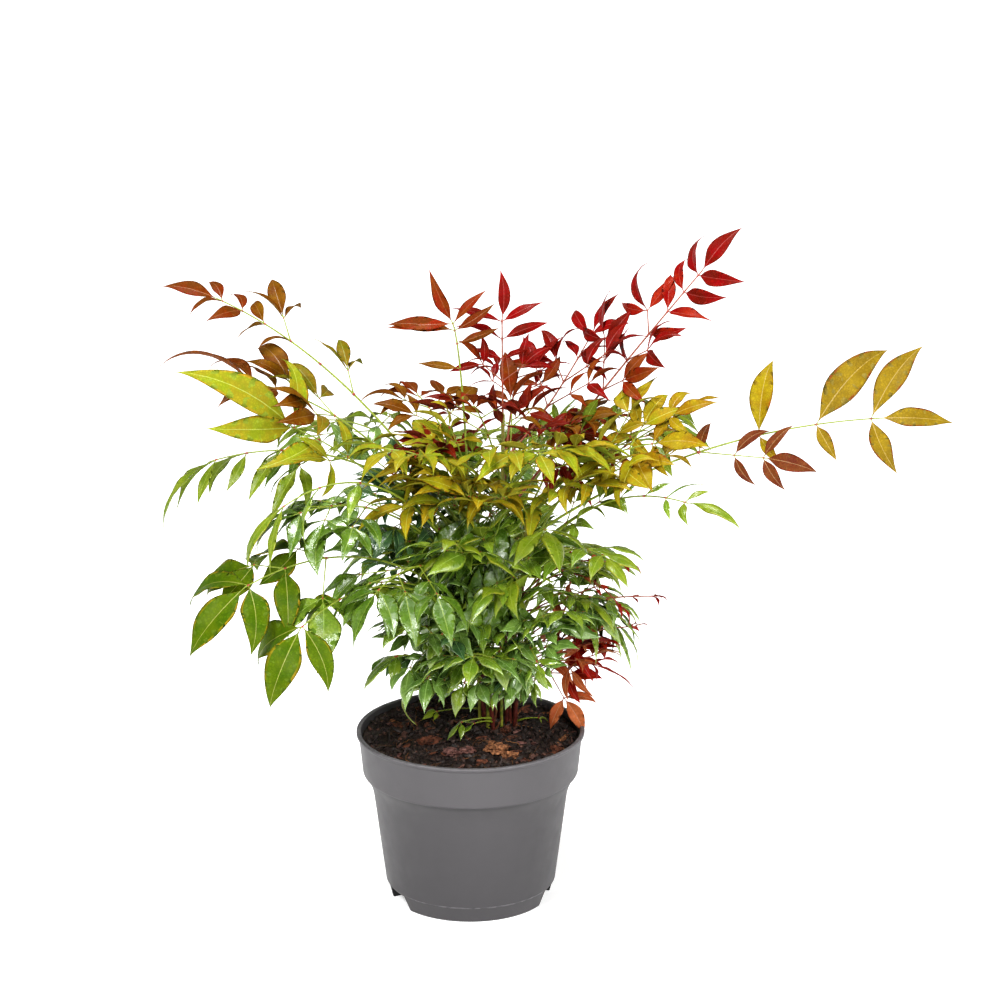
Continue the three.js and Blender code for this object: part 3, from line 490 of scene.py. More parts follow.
class Finish:
    """A Principled material and short ways to wire its nodes."""

    def __init__(self, name, roughness, specular=0.5):
        self.material = bpy.data.materials.new(name)
        self.material.use_nodes = True
        self.tree = self.material.node_tree
        self.shader = self.tree.nodes["Principled BSDF"]
        self.shader.inputs["Roughness"].default_value = roughness
        self.shader.inputs["Specular IOR Level"].default_value = specular
        self.place = self.tree.nodes.new("ShaderNodeTexCoord").outputs["Object"]

    def noise(self, size, detail=3.0, stretch=None):
        """Noise whose features measure about a size in millimetres, stretched along Z if told."""
        node = self.tree.nodes.new("ShaderNodeTexNoise")
        node.inputs["Scale"].default_value = 1 / (size * MM)
        node.inputs["Detail"].default_value = detail
        place = self.place
        if stretch:
            mapping = self.tree.nodes.new("ShaderNodeMapping")
            mapping.inputs["Scale"].default_value = (1, 1, 1 / stretch)
            self.tree.links.new(place, mapping.inputs["Vector"])
            place = mapping.outputs["Vector"]
        self.tree.links.new(place, node.inputs["Vector"])
        return node.outputs["Fac"]

    def net(self, size):
        """A net of fine lines with meshes of about a size in millimetres, 0 on the lines."""
        node = self.tree.nodes.new("ShaderNodeTexVoronoi")
        node.feature = "DISTANCE_TO_EDGE"
        node.inputs["Scale"].default_value = 1 / (size * MM)
        self.tree.links.new(self.place, node.inputs["Vector"])
        return self.between(node.outputs["Distance"], 0, 1, 0.0, 0.25)

    def between(self, factor, low, high, start=0.35, end=0.65):
        """A number that runs from low to high as the factor runs from start to end."""
        node = self.tree.nodes.new("ShaderNodeMapRange")
        for name, value in (("From Min", start), ("From Max", end), ("To Min", low), ("To Max", high)):
            node.inputs[name].default_value = value
        self.tree.links.new(factor, node.inputs["Value"])
        return node.outputs["Result"]

    def above(self, height, reach):
        """0 below a height in millimetres, rising to 1 at a reach above it."""
        split = self.tree.nodes.new("ShaderNodeSeparateXYZ")
        self.tree.links.new(self.place, split.inputs[0])
        return self.between(split.outputs["Z"], 0, 1, height * MM, (height + reach) * MM)

    def level(self, height, reach):
        """1 at a height in millimetres, falling to 0 at a reach above and below it."""
        split = self.tree.nodes.new("ShaderNodeSeparateXYZ")
        away = self.tree.nodes.new("ShaderNodeMath")
        away.operation = "SUBTRACT"
        away.inputs[1].default_value = height * MM
        size = self.tree.nodes.new("ShaderNodeMath")
        size.operation = "ABSOLUTE"
        self.tree.links.new(self.place, split.inputs[0])
        self.tree.links.new(split.outputs["Z"], away.inputs[0])
        self.tree.links.new(away.outputs[0], size.inputs[0])
        return self.between(size.outputs[0], 1, 0, 0, reach * MM)

    def times(self, one, other):
        """The product of two numbers."""
        node = self.tree.nodes.new("ShaderNodeMath")
        node.operation = "MULTIPLY"
        self.tree.links.new(one, node.inputs[0])
        self.tree.links.new(other, node.inputs[1])
        return node.outputs[0]

    def mixed(self, factor, one, other):
        """A colour between two, each a linear colour or a socket."""
        node = self.tree.nodes.new("ShaderNodeMix")
        node.data_type = "RGBA"
        self.tree.links.new(factor, node.inputs["Factor"])
        for socket, colour in ((node.inputs[6], one), (node.inputs[7], other)):
            if isinstance(colour, bpy.types.NodeSocket):
                self.tree.links.new(colour, socket)
            else:
                socket.default_value = (*colour[:3], 1)
        return node.outputs[2]

    def colour(self, socket):
        """Wires a socket to the base colour."""
        self.tree.links.new(socket, self.shader.inputs["Base Color"])

    def roughness(self, socket):
        """Wires a socket to the roughness."""
        self.tree.links.new(socket, self.shader.inputs["Roughness"])

    def bump(self, height, depth, strength=1.0):
        """Relief of a depth in millimetres from a height between 0 and 1."""
        node = self.tree.nodes.new("ShaderNodeBump")
        node.inputs["Distance"].default_value = depth * MM
        node.inputs["Strength"].default_value = strength
        self.tree.links.new(height, node.inputs["Height"])
        self.tree.links.new(node.outputs["Normal"], self.shader.inputs["Normal"])


def pot_plastic(colour):
    """Satin moulded plastic: faint streaks and grain, darker below the band, with painted shade under
    the band and a painted highlight with wear on the foot ledge and on the rim edge.
    """
    finish = Finish("pot plastic", 0.5, 0.4)
    streaks = finish.between(finish.noise(30, 4, stretch=6), 0, 1, 0.3, 0.7)
    low = finish.mixed(streaks, scaled(colour, 0.76), scaled(colour, 0.8))
    high = finish.mixed(streaks, scaled(colour, 0.97), scaled(colour, 1.03))
    body = finish.mixed(finish.above(POT["shoulder"] - 1, 2), low, high)
    # painted shade: a darker line just under the band, where the band's overhang shades the shoulder
    body = finish.mixed(finish.level(POT["shoulder"] - 1.5, 3), body, scaled(colour, 0.6))
    # the foot ledge is painted pale in patches: partly scuffs, partly a painted highlight where its top
    # catches the light
    ledge_patches = finish.between(finish.noise(5, 5), 0, 1, 0.42, 0.6)
    ledge_scuffs_and_highlight = finish.times(finish.level(POT["foot_height"], 1.2), ledge_patches)
    # painted highlight, with some wear: the rim's top edge is painted pale in a broken line
    edge = finish.times(finish.level(POT["height"], 1.4), finish.between(finish.noise(4, 2), 0.5, 1))
    body = finish.mixed(ledge_scuffs_and_highlight, body, scaled(colour, 2.6))
    finish.colour(finish.mixed(edge, body, scaled(colour, 2.4)))
    finish.roughness(finish.between(finish.noise(12, 4), 0.48, 0.55))
    finish.bump(finish.noise(0.5, 3), 0.04, 0.5)
    return finish.material


def mottled(name, dark, light, size, roughness, depth, specular=0.3):
    """A rough natural surface: two tones in patches with a fine bumpy grain."""
    finish = Finish(name, roughness, specular)
    finish.colour(finish.mixed(finish.between(finish.noise(size, 5), 0, 1), dark, light))
    finish.roughness(finish.between(finish.noise(size * 0.5), roughness - 0.08, roughness + 0.08))
    finish.bump(finish.noise(FINE_GRAIN, 4), depth)
    return finish.material


def leaf_side(name, colour, second, roughness, specular):
    """One side of a leaflet: two tones in patches, a net of veins, uneven gloss, pitted grain."""
    finish = Finish(name, roughness, specular)
    patches = finish.between(finish.noise(16, 2), 0, 1, 0.4, 0.62)
    cloud = finish.between(finish.noise(5, 4), 0, 1, 0.3, 0.7)
    pale = finish.mixed(patches, scaled(colour, 1.16), scaled(second, 1.16))
    shady = finish.mixed(patches, scaled(colour, 0.8), scaled(second, 0.8))
    tone = finish.mixed(cloud, shady, pale)
    finish.colour(finish.mixed(finish.net(2.6), shady, tone))
    finish.roughness(finish.between(finish.noise(4, 3), roughness - 0.06, roughness + 0.1))
    finish.bump(finish.net(1.7), 0.12, 0.5)
    return finish.material


def stem_skin(name, colour, roughness=0.42):
    """Skin of a thin stem, streaked along its length."""
    finish = Finish(name, roughness, 0.45)
    streak = finish.between(finish.noise(2.5, 4), 0, 1)
    finish.colour(finish.mixed(streak, scaled(colour, 0.8), scaled(colour, 1.15)))
    finish.roughness(finish.between(finish.noise(1.5), roughness - 0.06, roughness + 0.1))
    finish.bump(finish.noise(0.4, 3), 0.05, 0.5)
    return finish.material


# ---------------------------------------------------------------- meshes


class Sheaf:
    """Corners and faces of many small shapes, gathered into one mesh."""

    def __init__(self):
        self.corners = []
        self.faces = []
        self.finishes = []
        self.count = 0

    def add(self, corners, *groups):
        """Adds a shape. Each group is an array with a row of corner numbers a face, and its finish."""
        self.corners.append(np.asarray(corners, dtype=float).reshape(-1, 3))
        for faces, finish in groups:
            faces = np.asarray(faces)
            self.faces.append(faces + self.count)
            self.finishes.append(np.broadcast_to(finish, len(faces)))
        self.count += len(self.corners[-1])

    def make(self, name, materials, slot, replaces=(), sharp=None):
        """The gathered mesh as a piece in metres, that may stand for some solids. Its slot is not used.
        """
        corners = np.concatenate(self.corners) * MM
        loops = np.concatenate([faces.reshape(-1) for faces in self.faces])
        sides = np.concatenate([np.full(len(faces), faces.shape[1]) for faces in self.faces])
        mesh = bpy.data.meshes.new(name)
        mesh.vertices.add(len(corners))
        mesh.vertices.foreach_set("co", corners.reshape(-1))
        mesh.loops.add(len(loops))
        mesh.loops.foreach_set("vertex_index", loops)
        mesh.polygons.add(len(sides))
        mesh.polygons.foreach_set("loop_start", np.concatenate([[0], np.cumsum(sides)[:-1]]))
        for material in materials:
            mesh.materials.append(material)
        mesh.polygons.foreach_set("material_index", np.concatenate(self.finishes))
        mesh.update(calc_edges=True)
        mesh.validate()
        mesh.shade_smooth()
        if sharp:
            mesh.set_sharp_from_angle(angle=math.radians(sharp))
        piece = bpy.data.objects.new(name, mesh)
        bpy.context.scene.collection.objects.link(piece)
        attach(piece, "root")
        if replaces:
            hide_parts(*replaces)
        return piece


def lofted(rings, sides):
    """Faces between rings of corners, running from ring to ring, with a cap at each end."""
    ring = np.arange(sides)
    start = np.arange(rings - 1)[:, None] * sides
    following = (ring + 1) % sides
    above = start + sides
    walls = np.stack([start + ring, above + ring, above + following, start + following], -1)
    first = ring[None, :]
    last = (rings - 1) * sides + ring[None, ::-1]
    return walls.reshape(-1, 4), first, last


def tube_corners(points, ways, sides_out, radii, sides):
    """Corners of a round tube: rings across its ways, each starting at its side direction."""
    across = np.cross(ways, sides_out)
    turns = -2 * np.pi * np.arange(sides) / sides
    round_out = np.cos(turns)[None, :, None] * sides_out[:, None, :]
    round_up = np.sin(turns)[None, :, None] * across[:, None, :]
    radii = np.asarray(radii).reshape(len(points), -1, 1)
    return points[:, None, :] + (round_out + round_up) * radii


def unit(vectors):
    """Vectors brought to a length of 1."""
    return vectors / np.linalg.norm(vectors, axis=-1, keepdims=True)


def add_tube(sheaf, points, radii, sides, finish, start=(0.31, -0.2, 0.93)):
    """
    Adds a tube along points. Each ring starts at the side that looks towards the start direction.
    finish is one number, or one for each stretch between points.
    """
    points = np.asarray(points, dtype=float)
    ways = unit(np.gradient(points, axis=0))
    start = np.asarray(start)
    sides_out = unit(start - ways * (ways @ start)[:, None])
    walls, first, last = lofted(len(points), sides)
    corners = tube_corners(points, ways, sides_out, radii, sides)
    by_stretch = np.repeat(np.broadcast_to(finish, len(points) - 1), sides)
    sheaf.add(corners, (walls, by_stretch), (first, by_stretch[0]), (last, by_stretch[-1]))


# ---------------------------------------------------------------- the growing rule


def swings_from(seed):
    """The same row of draws either way of zero for the same seed."""
    state = seed

    def swing(most):
        """The next draw, at most this far either way."""
        nonlocal state
        state = (state * 1664525 + 1013904223) % 4294967296
        return (state / 4294967296 - 0.5) * 2 * most

    return swing


def turned(vector, axis, degrees):
    """A vector turned about an axis."""
    return Quaternion(axis, math.radians(degrees)) @ vector


def lerp(one, other, share):
    """A value at a share of the way from one to the other."""
    return one + (other - one) * share


class BentPath:
    """A path through three control points, with a side direction kept level to its heading."""

    def __init__(self, start, knee, end, level):
        self.start, self.knee, self.end, self.level = start, knee, end, level

    def at(self, share):
        """Point, way and side at a share of the path."""
        rest = 1 - share
        point = self.start * rest ** 2 + self.knee * (2 * rest * share) + self.end * share ** 2
        way = ((self.knee - self.start) * rest + (self.end - self.knee) * share).normalized()
        side = (self.level - way * self.level.dot(way)).normalized()
        return point, way, side


def node_shares(count, even):
    """Share of a stem's leafy length at each node, the gaps shrinking towards the tip."""
    whole = (1 - even ** count) / LAST_PAIR
    return [(1 - even ** (index + 1)) / whole for index in range(count)]


def fanned(way, side, degrees, hand):
    """A direction in the blade, turned from the stem's way towards its side."""
    angle = math.radians(degrees)
    return (way * math.cos(angle) + side * (hand * math.sin(angle))).normalized()


def cane_axis(cane, height):
    """Place of a cane's axis at a height above the ground."""
    share = (height - FOOT_HEIGHT) / (cane["top"] - FOOT_HEIGHT)
    x, y = (lerp(cane["foot"][k], cane["head"][k], share) for k in (0, 1))
    return Vector((x, y, height))


def leaflet(frond, swing, base, way, normal, length, hand):
    """
    Leaflet: a base point, the way it points, its upper side, its length and its hand, which is
    1 on a stem's left, -1 on its right and 0 at its end.
    """
    out = Vector((way.x, way.y, way.z - frond["hang"] - swing(DROOP_SPREAD))).normalized()
    normal = lerp(normal, frond["light"], frond["sky"])
    upper = (normal - out * normal.dot(out)).normalized()
    upper = turned(upper, out, swing(frond["twist"]))
    return {
        "base": base, "way": out, "normal": upper, "hand": hand, "width": frond["width"],
        "length": length * (1 + swing(LEAF_LENGTH_SPREAD)),
    }


def end_leaflet(frond, swing, end, normal, length):
    """The leaflet that goes on from a stem's end."""
    point, way, _ = end
    return leaflet(frond, swing, point - way * LEAF_END_SINK, way, normal, length, 0)


def grow_pinna(frond, swing, base, way, normal, count, size):
    """A pinna: its own stem with pairs of leaflets and one leaflet at its end."""
    length = frond["step"] * count * (1 + swing(PINNA_LENGTH_SPREAD))
    end = base + way * length
    end.z += frond["lift"] * length
    path = BentPath(base, (base + end) / 2, end, normal.cross(way))
    shares = node_shares(count, INTERNODE)
    leaflets = []
    for share in shares:
        point, ahead, side = path.at(share)
        for hand in (1, -1):
            out = fanned(ahead, side, frond["leaf_angle"] + swing(LEAF_SPREAD), hand)
            length_here = size * (PINNA_LEAF + PINNA_LEAF_GAIN * share)
            leaflets.append(leaflet(frond, swing, point, out, normal, length_here, hand))
    leaflets.append(end_leaflet(frond, swing, path.at(1), normal, size * PINNA_END_LEAF))
    return {"path": path, "shares": shares, "length": length, "leaflets": leaflets}


def grow_frond(given, seed):
    """A frond: its bent axis, its pinnae and the leaflets that sit straight on the axis."""
    frond = {**USUAL, **given}
    swing = swings_from(seed)
    heading = math.radians(frond["heading"])
    out = Vector((math.cos(heading), math.sin(heading), 0))
    left = Vector((-out.y, out.x, 0))
    frond["light"] = (out * LIGHT_LEAN + Vector((0, 0, 1))).normalized()
    root = cane_axis(CANES[frond["cane"]], frond["rise"]) + out * STALK_OFFSET
    tip = root + out * frond["reach"]
    tip.z = frond["tip"]
    knee = root + out * (frond["reach"] * frond["knee"]) + left * frond["sway"]
    knee.z = frond["rise"] + frond["climb"]
    path = BentPath(root, knee, tip, left)
    count = len(frond["pairs"])
    shares = [lerp(frond["bare"], 1, share) for share in node_shares(count, frond["even"])]
    pinnae, sprays = [], []
    for index, share in enumerate(shares):
        point, way, level = path.at(share)
        side = turned(level, way, frond["roll"])
        normal = turned(way.cross(level), way, frond["roll"])
        grown = (index + 1) / count
        pair = frond["pairs"][index]
        pair = pair if isinstance(pair, tuple) else (pair, pair)
        shares_of_usual = frond["sizes"][index] if frond["sizes"] else (1, 1)
        turns = frond["turns"][index] if frond["turns"] else (0, 0)
        for hand, leaf_pairs, gain, turn in zip((1, -1), pair, shares_of_usual, turns):
            if leaf_pairs < 0:
                continue
            ahead = fanned(way, side, frond["angle"] + turn + swing(PINNA_SPREAD), hand)
            if leaf_pairs == 0:
                size = gain * frond["leaf"] * lerp(frond["base_leaf"], SINGLE_LEAF, grown)
                sprays.append((grown, [leaflet(frond, swing, point, ahead, normal, size, hand)]))
            else:
                size = gain * frond["leaf"] * lerp(frond["base_leaf"], 1, grown)
                pinnae.append(grow_pinna(frond, swing, point, ahead, normal, leaf_pairs, size))
                sprays.append((grown, pinnae[-1]["leaflets"]))
    last = end_leaflet(frond, swing, path.at(1), normal, frond["leaf"] * frond["end"])
    sprays.append((1.0, [last]))
    return {
        "frond": frond, "seed": seed, "path": path, "shares": shares, "pinnae": pinnae,
        "sprays": sprays,
    }


def grow_fronds():
    """Every frond by name, in the order that sets its seed."""
    return {
        name: grow_frond(given, FIRST_SEED + SEED_STEP * index)
        for index, (name, given) in enumerate(FRONDS.items())
    }


def draw_shoot(given, index, start, rng):
    """One shoot of a group. The order of the draws sets its shape."""
    def own(name):
        """A draw between the group's own bounds."""
        return rng.uniform(*given[name])

    def usual(name):
        """A draw between the bounds of all groups."""
        return rng.uniform(*SHOOT_BOUNDS[name])

    share = (index + rng.random()) / given["count"]
    around = (start + index * HEADING_STEP) % 1
    rise = lerp(*given["rise"], share)
    pairs = given["pairs"][rng.integers(len(given["pairs"]))]
    return dict(
        cane=given["canes"][index % len(given["canes"])], rise=rise, pairs=pairs,
        heading=lerp(*given["heading"], around), reach=own("reach"), tip=rise + own("climb"),
        climb=usual("arch") * given.get("arch", USUAL_ARCH), bare=usual("bare"),
        step=usual("step"), leaf=own("leaf"), hang=own("hang"), lift=usual("lift"),
        roll=rng.uniform(-1, 1) * given["roll"], twist=given["twist"], sky=given["sky"],
        sway=usual("sway"), width=given["width"] * usual("width"), hues=given["hues"],
    )


def grow_shoots():
    """Every shoot and sprig by name."""
    grown = {}
    for order, (group, given) in enumerate(SHOOTS.items()):
        rng = np.random.default_rng(GROUP_SEED + order)
        start = rng.random()
        for index in range(given["count"]):
            shoot = draw_shoot(given, index, start, rng)
            seed = SHOOT_SEED + SHOOT_SEED_STEP * order + index
            grown[f"{group}_{index}"] = grow_frond(shoot, seed)
    for index, (name, given) in enumerate(SPRIGS.items()):
        grown[name] = grow_frond(given, SPRIG_SEED + index)
    return grown


def hue_of(blend, grown, chance):
    """The hue of a spray at its place along the frond, now and then one step off."""
    hues = BLENDS[blend]
    place = grown * (len(hues) - 1) + 0.5 * (chance - 0.5)
    return hues[min(max(round(place), 0), len(hues) - 1)]


# ---------------------------------------------------------------- leaflets

RIB = "rib"
RING_TOP = (-1, -0.82, -0.42, (-1, RIB), (1, RIB), 0.42, 0.82, 1)
RING_UNDER = (0.5, (1, RIB), (-1, RIB), -0.5)
RING = RING_TOP + RING_UNDER
TOP_STRIPS = len(RING_TOP) - 1
RIB_STRIP = TOP_STRIPS // 2
UNDER_RIB = len(RING_TOP) + 1
# from root to tip: width of half the midrib in a leaflet 50 long, and the least half width
RIB_WIDTH = (0.38, 0.12)
LEAST_HALF = (0.42, 0.06)
WIDEST = 0.39
SWELL, TAPER = 1.3, 1.42
LEAF_THICKNESS = 0.34
# how far the halves of a blade arch down, where it is young and where it is full grown
YOUNG_ARCH, MATURE_ARCH = 0.12, 0.5
MATURE_BLENDS = ("green", "deep")
SIDE_VEINS = 7
VEIN_SLANT = 0.24
VEIN_DEPTH = 0.006
WAVE_DEPTH = 0.13
GROOVE_DEPTH = 0.02
# a rougher leaflet than this has less shine, or hardly any
GLOSSY = 0.25
MATTE = 0.32


def half_widths(each, settings, rng, t):
    """Half the width at each row: broadest a little below the middle, drawn out to a fine tip."""
    widest = WIDEST + rng.uniform(-0.03, 0.03)
    rising = np.sin(np.pi / 2 * np.clip(t / widest, 0, 1)) ** SWELL
    falling = np.sin(np.pi / 2 * np.clip((1 - t) / (1 - widest), 0, 1)) ** TAPER
    width = settings.width * each["width"] * rng.uniform(0.9, 1.14)
    half = width * each["length"] / 2 * np.where(t < widest, rising, falling)
    return np.maximum(half, lerp(*LEAST_HALF, t))


def midrib(each, settings, rng, t):
    """
    The midrib's line with the blade's ways, sides and upper directions along it.

    It rises from its root, arches over, and may bend sideways and twist.
    """
    bend = settings.curl + rng.uniform(-0.35, 0.55)
    pitch = bend * (t ** 1.6 - 0.385) + 0.1
    yaw = (rng.uniform(-0.3, 0.3) - each["hand"] * settings.sickle) * (t ** 1.5 - 0.3)
    way, normal = np.array(each["way"]), np.array(each["normal"])
    side = np.cross(normal, way)
    flat = np.cos(yaw)[:, None] * way + np.sin(yaw)[:, None] * side
    ways = np.cos(pitch)[:, None] * flat - np.sin(pitch)[:, None] * normal
    normals = np.cos(pitch)[:, None] * normal + np.sin(pitch)[:, None] * flat
    sides = np.cross(normals, ways)
    twist = rng.uniform(-0.4, 0.4) * t
    sides, normals = (
        np.cos(twist)[:, None] * sides + np.sin(twist)[:, None] * normals,
        np.cos(twist)[:, None] * normals - np.sin(twist)[:, None] * sides,
    )
    stalk = petiolule_length(each)
    blade = each["length"] - stalk
    steps = np.diff(t)[:, None] * blade * (ways[1:] + ways[:-1]) / 2
    line = np.array(each["base"]) + ways[0] * stalk
    line = line + np.concatenate([np.zeros((1, 3)), np.cumsum(steps, axis=0)])
    return line, ways, sides, normals


def relief(length, half, settings, rng, t, mature):
    """
    How far each corner of the rings stands aside from the midrib's line, and above it.

    The halves fold up and arch over, their margins wave, the side veins lie in shallow furrows
    and the midrib in a groove over a low ridge.
    """
    rib = np.minimum(lerp(*RIB_WIDTH, t) * (length / 50) ** 0.5 / half, 0.2)
    across = [np.full(len(t), c) if not isinstance(c, tuple) else c[0] * rib for c in RING]
    s = np.stack(across, -1)
    top = np.arange(len(RING)) < len(RING_TOP)
    size = np.abs(s)
    fold = settings.fold * rng.uniform(0.6, 1.3) * (1 - 0.45 * t)[:, None]
    arch = (MATURE_ARCH if mature else YOUNG_ARCH) * rng.uniform(0.5, 1.5)
    wave = WAVE_DEPTH * rng.uniform(0.4, 1.3) * np.sin(
        2 * np.pi * rng.uniform(1.2, 2.4) * t[:, None] + np.sign(s) * rng.uniform(0.6, 2.2)
        + rng.uniform(0, 6))
    height = half[:, None] * (fold * size - arch * size ** 2 + wave * size ** 2)
    furrows = np.cos(2 * np.pi * SIDE_VEINS * (t[:, None] - VEIN_SLANT * size))
    height += VEIN_DEPTH * settings.veins * length * furrows * np.sqrt(size) * (1 - size ** 4) * (
        np.minimum(half / (0.08 * length), 1)[:, None])
    groove = GROOVE_DEPTH * half[:, None] * np.exp(-(size / 0.16) ** 2)
    skin = LEAF_THICKNESS * (0.5 + 0.5 * (1 - size ** 2)) / 2
    ridge = np.where(size < 0.25, 0.35 * (1 - t)[:, None] + 0.08, 0)
    height += np.where(top, skin - groove, -skin - ridge)
    return s * half[:, None], height


def leaf_corners(each, settings, rng, mature):
    """A leaflet as a closed ring of corners at each row from root to tip, its root and its way."""
    turn = np.linspace(0, 1, leaf_rows(each, settings) + 1)
    t = 0.5 * turn + 0.5 * (0.5 - 0.5 * np.cos(np.pi * turn))
    half = half_widths(each, settings, rng, t)
    line, ways, sides, normals = midrib(each, settings, rng, t)
    aside, height = relief(each["length"], half, settings, rng, t, mature)
    corners = line[:, None] + sides[:, None] * aside[..., None]
    return corners + normals[:, None] * height[..., None], line[0], ways[0]


def leaf_rows(each, settings):
    """Rows along a leaflet: fewer on a short one."""
    return int(min(max(settings.rows * (0.35 + each["length"] / 90), 10), settings.rows))


def petiolule_length(each):
    """Length of the leaflet's own little stalk."""
    return 0.03 * each["length"] + (0.8 if each["hand"] else 1.6)


@cache
def leaf_faces(rows):
    """Faces of a leaflet by strip: upper side 0, underside 1, midrib 2 and margin 3."""
    walls, first, last = lofted(rows + 1, len(RING))
    strips = np.ones(len(RING), dtype=int)
    strips[:TOP_STRIPS] = 0
    strips[[RIB_STRIP, UNDER_RIB]] = 2
    strips[[0, TOP_STRIPS - 1]] = 3
    return walls, np.tile(strips, rows), first, last


def shaped_leaflets(grown, shape):
    """Each leaflet of a frond with its root, its first direction, and its corners and hue."""
    rng = np.random.default_rng(LEAFLET_SEED + grown["seed"])
    hues = grown["frond"]["hues"]
    for place, leaflets in grown["sprays"]:
        spray_chance = rng.random()
        for each in leaflets:
            corners, root, way = leaf_corners(each, shape, rng, hues in MATURE_BLENDS)
            chance = 0.75 * spray_chance + 0.25 * rng.random()
            yield each, root, way, corners, hue_of(hues, place, chance)


# ---------------------------------------------------------------- stems


STEM_GREEN, STEM_RED, STEM_JOINT = 0, 1, 2
RED_BLENDS = ("crimson", "scarlet", "brick")
# facets round a frond's axis, a pinna and a leaflet's own stalk
AXIS_SIDES, PINNA_SIDES, PETIOLULE_SIDES = 8, 6, 5
# how much longer a bent axis is than the straight way from its root to its tip
AXIS_BEND = 1.08
RING_GAP = 7
JOINT_RINGS = (-1, -0.45, 0, 0.45, 1)
# how far a joint's swelling spreads along an axis or a pinna, and by what share it thickens it
AXIS_JOINT, PINNA_JOINT = 2.6, 1.7
JOINT_SWELL = 0.5
# how close to a joint, from 0 to 1, an axis or a pinna takes the joint's finish
AXIS_NEAR, PINNA_NEAR = 0.3, 0.45
# the sheath that clasps the cane: its swelling and how fast that fades
SHEATH_SWELL, SHEATH_LENGTH = 0.9, 6
# radii from root to end
PINNA_RADII = (0.62, 0.42)
PETIOLULE_RADII = (0.5, 0.4, 0.42)


def plain_finish(grown):
    """The finish of a frond's stems between their joints."""
    return STEM_RED if grown["frond"]["hues"] in RED_BLENDS else STEM_GREEN


def jointed(length, root_radius, tip_radius, joints, spread):
    """Shares and radii along a stem, with extra rings where a joint swells it."""
    usual = np.linspace(0, 1, max(4, int(length / RING_GAP)))
    close = [joint + offset * spread / length for joint in joints for offset in JOINT_RINGS]
    shares = np.unique(np.clip(np.concatenate([usual, close]), 0, 1).round(4))
    radii = lerp(root_radius, tip_radius, shares)
    near = np.zeros(len(shares))
    for joint in joints:
        near = np.maximum(near, np.exp(-((shares - joint) * length / (0.55 * spread)) ** 2))
    return shares, radii * (1 + JOINT_SWELL * near), near


def joint_finish(near, least, plain):
    """The finish of each stretch of a stem: the joints' own where a joint is near."""
    return np.where((near[1:] + near[:-1]) / 2 > least, STEM_JOINT, plain)


def add_axis(sheaf, grown, settings):
    """A frond's whole axis, from a sheath that clasps its cane to the end leaflet."""
    frond, path = grown["frond"], grown["path"]
    length = math.hypot(frond["reach"], frond["tip"] - frond["rise"]) * AXIS_BEND
    root = settings.root_radius / MM * (0.45 + 0.55 * min(length / 200, 1))
    tip = settings.tip_radius / MM
    shares, radii, near = jointed(length, root, tip, grown["shares"], AXIS_JOINT)
    radii = radii * (1 + SHEATH_SWELL * np.exp(-(shares * length / SHEATH_LENGTH) ** 2))
    points = np.array([path.at(share)[0] for share in shares])
    finish = joint_finish(near, AXIS_NEAR, plain_finish(grown))
    add_tube(sheaf, points, radii, AXIS_SIDES, finish)


def add_pinna(sheaf, pinna, plain):
    """A pinna's stem, swollen where it leaves the axis and at each pair of leaflets."""
    joints = [0, *pinna["shares"], 1]
    shares, radii, near = jointed(pinna["length"], *PINNA_RADII, joints, PINNA_JOINT)
    points = np.array([pinna["path"].at(share)[0] for share in shares])
    add_tube(sheaf, points, radii, PINNA_SIDES, joint_finish(near, PINNA_NEAR, plain))


def add_petiolule(sheaf, each, root, way, plain):
    """The little stalk from a stem to a blade's root."""
    base = np.array(each["base"])
    points = np.array([base, (base + root) / 2, root + way * 0.8])
    add_tube(sheaf, points, PETIOLULE_RADII, PETIOLULE_SIDES, plain)


# ---------------------------------------------------------------- canes

STUB_FINISH = 3


def sheath_steps(cane, rng):
    """Heights of the mouths of a cane's old leaf sheaths, closer together near the foot."""
    heights, z = [], FOOT_HEIGHT + SHEATHS["first"]
    while z < cane["top"] - 6:
        heights.append(z)
        gap = lerp(*SHEATHS["gaps"], (z - FOOT_HEIGHT) / SHEATHS["over"])
        z += rng.uniform(*SHEATHS["uneven"]) * gap
    return np.array(heights)


def add_cane(sheaf, cane, settings, rng):
    """A cane with ribs and stepped old sheaths, red-brown at its foot and olive higher up."""
    foot = FOOT_HEIGHT - CANE_SUNK
    heights = np.arange(foot, cane["top"], CANE_RING_GAP)
    mouths = sheath_steps(cane, rng)
    turns = np.arange(CANE_SIDES) / CANE_SIDES
    share = (heights - foot) / (cane["top"] - foot)
    base = lerp(settings.foot_radius, settings.head_radius, share) / MM
    flare = 0.6 * np.exp(-(heights - FOOT_HEIGHT - 5).clip(0) / 5)
    ragged = 1.6 * np.sin(2 * np.pi * (2 * turns + rng.random()))
    ragged += 0.9 * np.sin(2 * np.pi * 3 * turns)
    place = heights[:, None] + ragged[None, :]
    behind = np.searchsorted(mouths, place)
    below = np.where(behind > 0, mouths[np.maximum(behind - 1, 0)], foot)
    above = np.where(behind < len(mouths), mouths[np.minimum(behind, len(mouths) - 1)], cane["top"])
    phase = ((place - below) / np.maximum(above - below, 1)).clip(0, 1)
    ribs = 0.06 * np.sin(2 * np.pi * CANE_RIBS * turns)[None, :]
    radii = (base + flare)[:, None] * (0.9 + 0.2 * phase ** 2 + ribs)
    radii[-1] *= 0.45
    points = np.array([cane_axis(cane, height) for height in heights])
    bow = np.sin(np.pi * share.clip(0, 1)) * rng.uniform(-1.2, 1.2)
    points[:, 0] += bow
    finish = sum((share[1:] > change).astype(int) for change in CANE_CHANGES)
    add_tube(sheaf, points, radii, CANE_SIDES, finish, start=(1, 0, 0))
    return mouths


